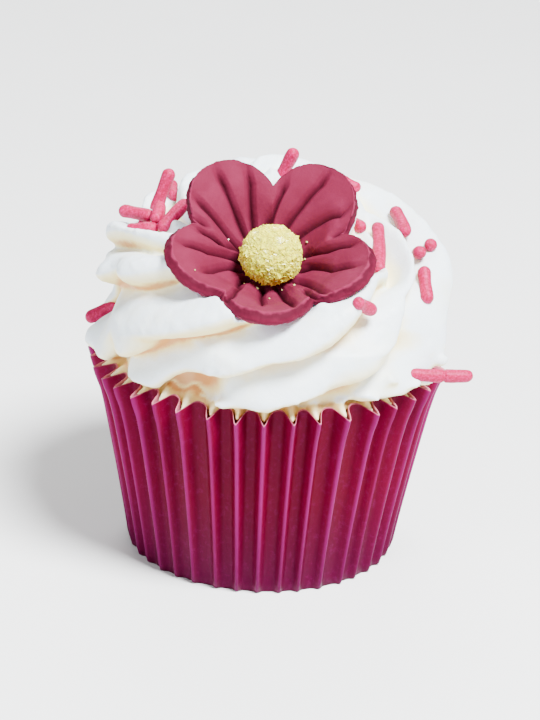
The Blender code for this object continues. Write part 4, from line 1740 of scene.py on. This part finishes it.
    def layer_mesh(self, case: PaperCase) -> bpy.types.Mesh:
        """The thin first layer that was spread over the sponge, out into the folds of the paper.

        Args:
            case: The case that it fills to the rim.

        Returns:
            A closed mesh.
        """
        wall, _ = case.wall_row(self.layer_floor, self.layer_gap, True)
        out = np.linalg.norm(wall[:, :2], axis=1)
        ring = wall / out[:, None]
        out = out.min() + (out - out.min()) * self.layer_fill
        ring[:, 2] = 0
        wave = fractal_noise(ring * self.layer_wave_reach, self.layer_wave_size)
        rows = []
        for reach, height in self.layer_outline:
            pull = (self.layer_radius - out) * (1 - reach) * self.layer_pull
            row = ring * ((out + pull) * reach + self.layer_wave * wave * (reach < 1))[:, None]
            rise = (self.layer_top - self.layer_floor) * height
            row[:, 2] = self.layer_floor + rise * (1 + self.layer_wave_rise * wave)
            rows.append(row)
        return lofted("first_layer", np.array(rows), on_axis(self.layer_top), on_axis(self.layer_floor))

    def wide_hollows(self, mesh: bpy.types.Mesh, points: Array) -> Array:
        """How deep each point lies under the surface when that is smoothed over several millimetres.

        Args:
            mesh: The icing.
            points: Its points in millimetres.

        Returns:
            A depth in millimetres for each point, above zero in the hollows.
        """
        coarse = one_skin([mesh.copy()], self.coarse_voxel)
        coarse_points = points_of(coarse)
        broad = relaxed(coarse, coarse_points, self.wide_rounds)
        depth = np.sum((broad - coarse_points) * normals_of(coarse), axis=1)
        depth = relaxed(coarse, depth[:, None], self.depth_rounds)[:, 0]
        tree = KDTree(len(coarse_points))
        for number, point in enumerate(coarse_points):
            tree.insert(point, number)
        tree.balance()
        found = []
        for point in points:
            near = tree.find_n(point, self.near_points)
            weights = [1 / (away + self.near_softness) for _, _, away in near]
            total = sum(w * depth[number] for w, (_, number, _) in zip(weights, near))
            found.append(total / sum(weights))
        return np.array(found)

    def mesh(self, case: PaperCase, flower: SugarFlower) -> bpy.types.Mesh:
        """Melt the turns into one skin, press the flower in and work over the surface.

        Args:
            case: The case that the icing fills to the rim.
            flower: The flower that is pressed in.

        Returns:
            The finished mesh, with its painted shade marked.
        """
        swirl = [self.ring_mesh(), self.coil_mesh(), *[self.scrap_mesh(*scrap) for scrap in SCRAPS]]
        piped = surface_tree(swirl)
        mesh = one_skin([*swirl, self.layer_mesh(case)], self.voxel)
        mesh = carved(mesh, flower.hollow_mesh(self.press_gap, self.press_height))
        mesh = one_skin([mesh], self.voxel)
        points = relaxed(mesh, points_of(mesh), self.smooth_rounds)
        move_points(mesh, points)
        normals = normals_of(mesh)
        broad = relaxed(mesh, points, self.groove_rounds)
        hollow = np.sum((broad - points) * normals, axis=1)
        wide = self.wide_hollows(mesh, points)
        crest = np.clip(-hollow / self.crest_depth, 0, 1)
        rough = self.ripple * fractal_noise(points, self.ripple_size)
        rough += self.crest_grain * crest * fractal_noise(points, self.crest_grain_size)
        raise_points(mesh, points, rough)
        # Mark the painted shade for the buttercream's colours.
        set_mark(mesh, Mark.PAINTED_SHADE, PaintedIcingShade().depths(points, normals, hollow, wide, piped))
        return mesh

    def build(self, case: PaperCase, flower: SugarFlower) -> None:
        """Make the icing and put it in the frame."""
        finish = ButtercreamFinish().material()
        put_in_frame("icing_swirl", self.mesh(case, flower), finish, Node.ICING)


@dataclass
class SugarStrands:
    """The sugar strands that are stuck in the icing."""

    radius: float = 0.87
    sides: int = 18
    body_rows: int = 60
    cap_rows: int = 6
    back_count: int = 8
    back_lobes: tuple[float, float] = (0.3, 2.1)
    back_angles: tuple[float, float] = (0.0, 55.0)
    back_lengths: tuple[float, float] = (4.0, 7.0)
    back_jitter: tuple[float, float] = (0.2, 0.8)
    lobe_nudge: float = 0.05
    angle_nudge: float = 4.0
    proud: float = 0.4
    bend: float = 0.35
    bend_step: float = 2.4
    bent_length: float = 6.0
    cap_angle: float = 80.0
    swell: float = 0.04
    swell_step: float = 9.0
    roughness: float = 0.03
    rough_size: float = 0.8
    cracked: int = 15
    crack_share: float = 0.57
    crack_depth: float = 0.22
    crack_width: float = 0.02
    seed: int = 11

    def back_ends(self, icing: IcingSwirl) -> list[tuple[Vector, Vector]]:
        """Ends of the strands on the far side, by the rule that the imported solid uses.

        Args:
            icing: The icing that they lie on.

        Returns:
            Both ends of each strand.
        """
        chance = random.Random(self.seed)
        low, high = self.back_lobes
        ends = []
        for k in range(self.back_count):
            lobe = low + (high - low) * (k + chance.uniform(*self.back_jitter)) / self.back_count
            angle = chance.uniform(*self.back_angles)
            near = icing.ring_row(np.array([lobe, lobe + self.lobe_nudge]), angle)
            here = Vector(near[0])
            around = (Vector(near[1]) - here).normalized()
            above = icing.ring_row(np.array([lobe]), angle + self.angle_nudge)
            upward = (Vector(above[0]) - here).normalized()
            heading = chance.uniform(0, math.pi)
            along = around * math.cos(heading) + upward * math.sin(heading)
            half = along.normalized() * chance.uniform(*self.back_lengths) / 2
            centre = here + around.cross(upward).normalized() * self.proud
            ends.append((centre - half, centre + half))
        return ends

    def strand(self, start: Vector, end: Vector, number: int) -> Array:
        """Rows of points of one strand, a slightly bent rod with round ends.

        Args:
            start: One end of its middle line.
            end: The other end.
            number: Its number, which sets its bend and unevenness.

        Returns:
            Points of the shape rows, columns, 3.
        """
        length = (end - start).length
        turn = (end - start).to_track_quat("Z", "Y")
        bend = self.bend * math.sin(number * self.bend_step) * min(1.0, length / self.bent_length)
        cap = np.radians(np.linspace(-self.cap_angle, 0, self.cap_rows))
        levels = [(self.radius * (1 + math.sin(a)), math.cos(a)) for a in cap]
        levels += [(z, 1.0) for z in np.linspace(self.radius, length - self.radius, self.body_rows)[1:-1]]
        levels += [(length - self.radius * (1 + math.sin(a)), math.cos(a)) for a in reversed(cap)]
        side = even_turn(self.sides)
        rows = []
        for level, width in levels:
            share = level / length
            swell = 1 + self.swell * math.sin(number + share * self.swell_step)
            if number == self.cracked:
                near = math.exp(-(((share - self.crack_share) / self.crack_width) ** 2))
                swell -= self.crack_depth * near
            radius = self.radius * width * swell
            bow = bend * (1 - (2 * share - 1) ** 2)
            row = ring_points(radius, side, level) + (bow, 0.0, 0.0)
            rows.append([turn @ Vector(point) + start for point in row])
        return np.array(rows)

    def mesh(self, icing: IcingSwirl) -> bpy.types.Mesh:
        """All the strands as one mesh.

        Args:
            icing: The icing that they lie on.

        Returns:
            The mesh.
        """
        ends = [(Vector(start), Vector(end)) for start, end in STRANDS]
        strands = []
        for number, (start, end) in enumerate([*ends, *self.back_ends(icing)]):
            rows = self.strand(start, end, number)
            one = lofted("strand", rows, rows[0].mean(0, keepdims=True), rows[-1].mean(0, keepdims=True))
            points = points_of(one)
            raise_points(one, points, self.roughness * fractal_noise(points, self.rough_size))
            strands.append(one)
        return joined("strands", strands)

    def build(self, icing: IcingSwirl) -> None:
        """Make the strands and put them in the frame."""
        finish = SugarStrandFinish().material()
        put_in_frame("sugar_strands", self.mesh(icing), finish, Node.ICING)


@dataclass
class Studio:
    """The pale floor, the soft lights and the camera at the photograph's angle."""

    elevation: float = 22.0
    distance: float = 400.0
    roll: float = 2.43
    target: Point = (0.41, 0.0, 25.83)
    long_side_pixels: float = 720.0
    focal_pixels: float = 3005.8
    sensor: float = 36.0
    nearest: float = 10.0
    floor_size: float = 2400.0
    sky: tuple[float, float, float, float] = (0.95, 0.97, 1.0, 1.0)
    sky_strength: float = 0.16

    def camera(self) -> None:
        """Set up the camera, with the film width across the picture's long side."""
        elevation = math.radians(self.elevation)
        back = Vector((0.0, -math.cos(elevation), math.sin(elevation)))
        camera = added("camera", bpy.data.cameras.new("camera"))
        camera.location = (Vector(self.target) + back * self.distance) * MM
        camera.rotation_mode = "QUATERNION"
        roll = Quaternion((0, 0, 1), math.radians(self.roll))
        camera.rotation_quaternion = (-back).to_track_quat("-Z", "Y") @ roll
        camera.data.sensor_width = self.sensor
        camera.data.lens = self.sensor * self.focal_pixels / self.long_side_pixels
        camera.data.clip_start = self.nearest * MM
        bpy.context.scene.camera = camera

    def light(self, name: str, place: Point, size: float, power: float, colour: Point) -> None:
        """Add one soft light that faces the cupcake.

        Args:
            name: Its name.
            place: Where it stands, in millimetres.
            size: How wide it is.
            power: Its power in watts.
            colour: Its colour in linear light.
        """
        data = bpy.data.lights.new(name, "AREA")
        data.shape = "DISK"
        data.size = size * MM
        data.energy = power
        data.color = colour
        lamp = added(name, data)
        lamp.location = Vector(place) * MM
        lamp.rotation_euler = (Vector(self.target) - Vector(place)).to_track_quat("-Z", "Y").to_euler()

    def floor(self) -> None:
        """Lay the pale floor."""
        half = self.floor_size / 2 * MM
        mesh = bpy.data.meshes.new("floor")
        corners = [(-half, -half, 0), (half, -half, 0), (half, half, 0), (-half, half, 0)]
        mesh.from_pydata(corners, [], [(0, 1, 2, 3)])
        mesh.materials.append(FloorFinish().material())
        floor = added("floor", mesh)

    def build(self) -> None:
        """Set the stage."""
        self.camera()
        self.floor()
        white, cool, cooler = (1.0, 1.0, 1.0), (0.97, 0.99, 1.0), (0.94, 0.97, 1.0)
        self.light("key", (200.0, -230.0, 540.0), size=220.0, power=19.0, colour=cool)
        self.light("fill", (-420.0, -340.0, 240.0), size=500.0, power=2.5, colour=cooler)
        self.light("back", (-60.0, 420.0, 420.0), size=400.0, power=3.0, colour=white)
        world = bpy.data.worlds.new("studio")
        world.use_nodes = True
        sky = world.node_tree.nodes["Background"]
        sky.inputs["Color"].default_value = self.sky
        sky.inputs["Strength"].default_value = self.sky_strength
        bpy.context.scene.world = world


def main() -> None:
    """Build the stage and every piece of the cupcake."""
    logging.basicConfig(level=logging.INFO, format="%(name)s: %(message)s")
    Studio().build()
    case, flower, icing = PaperCase(), SugarFlower(), IcingSwirl()
    case.build()
    Sponge().build(case)
    icing.build(case, flower)
    SugarStrands().build(icing)
    flower.build()
    SugarBall().build(flower)


if __name__ == "__main__":
    main()
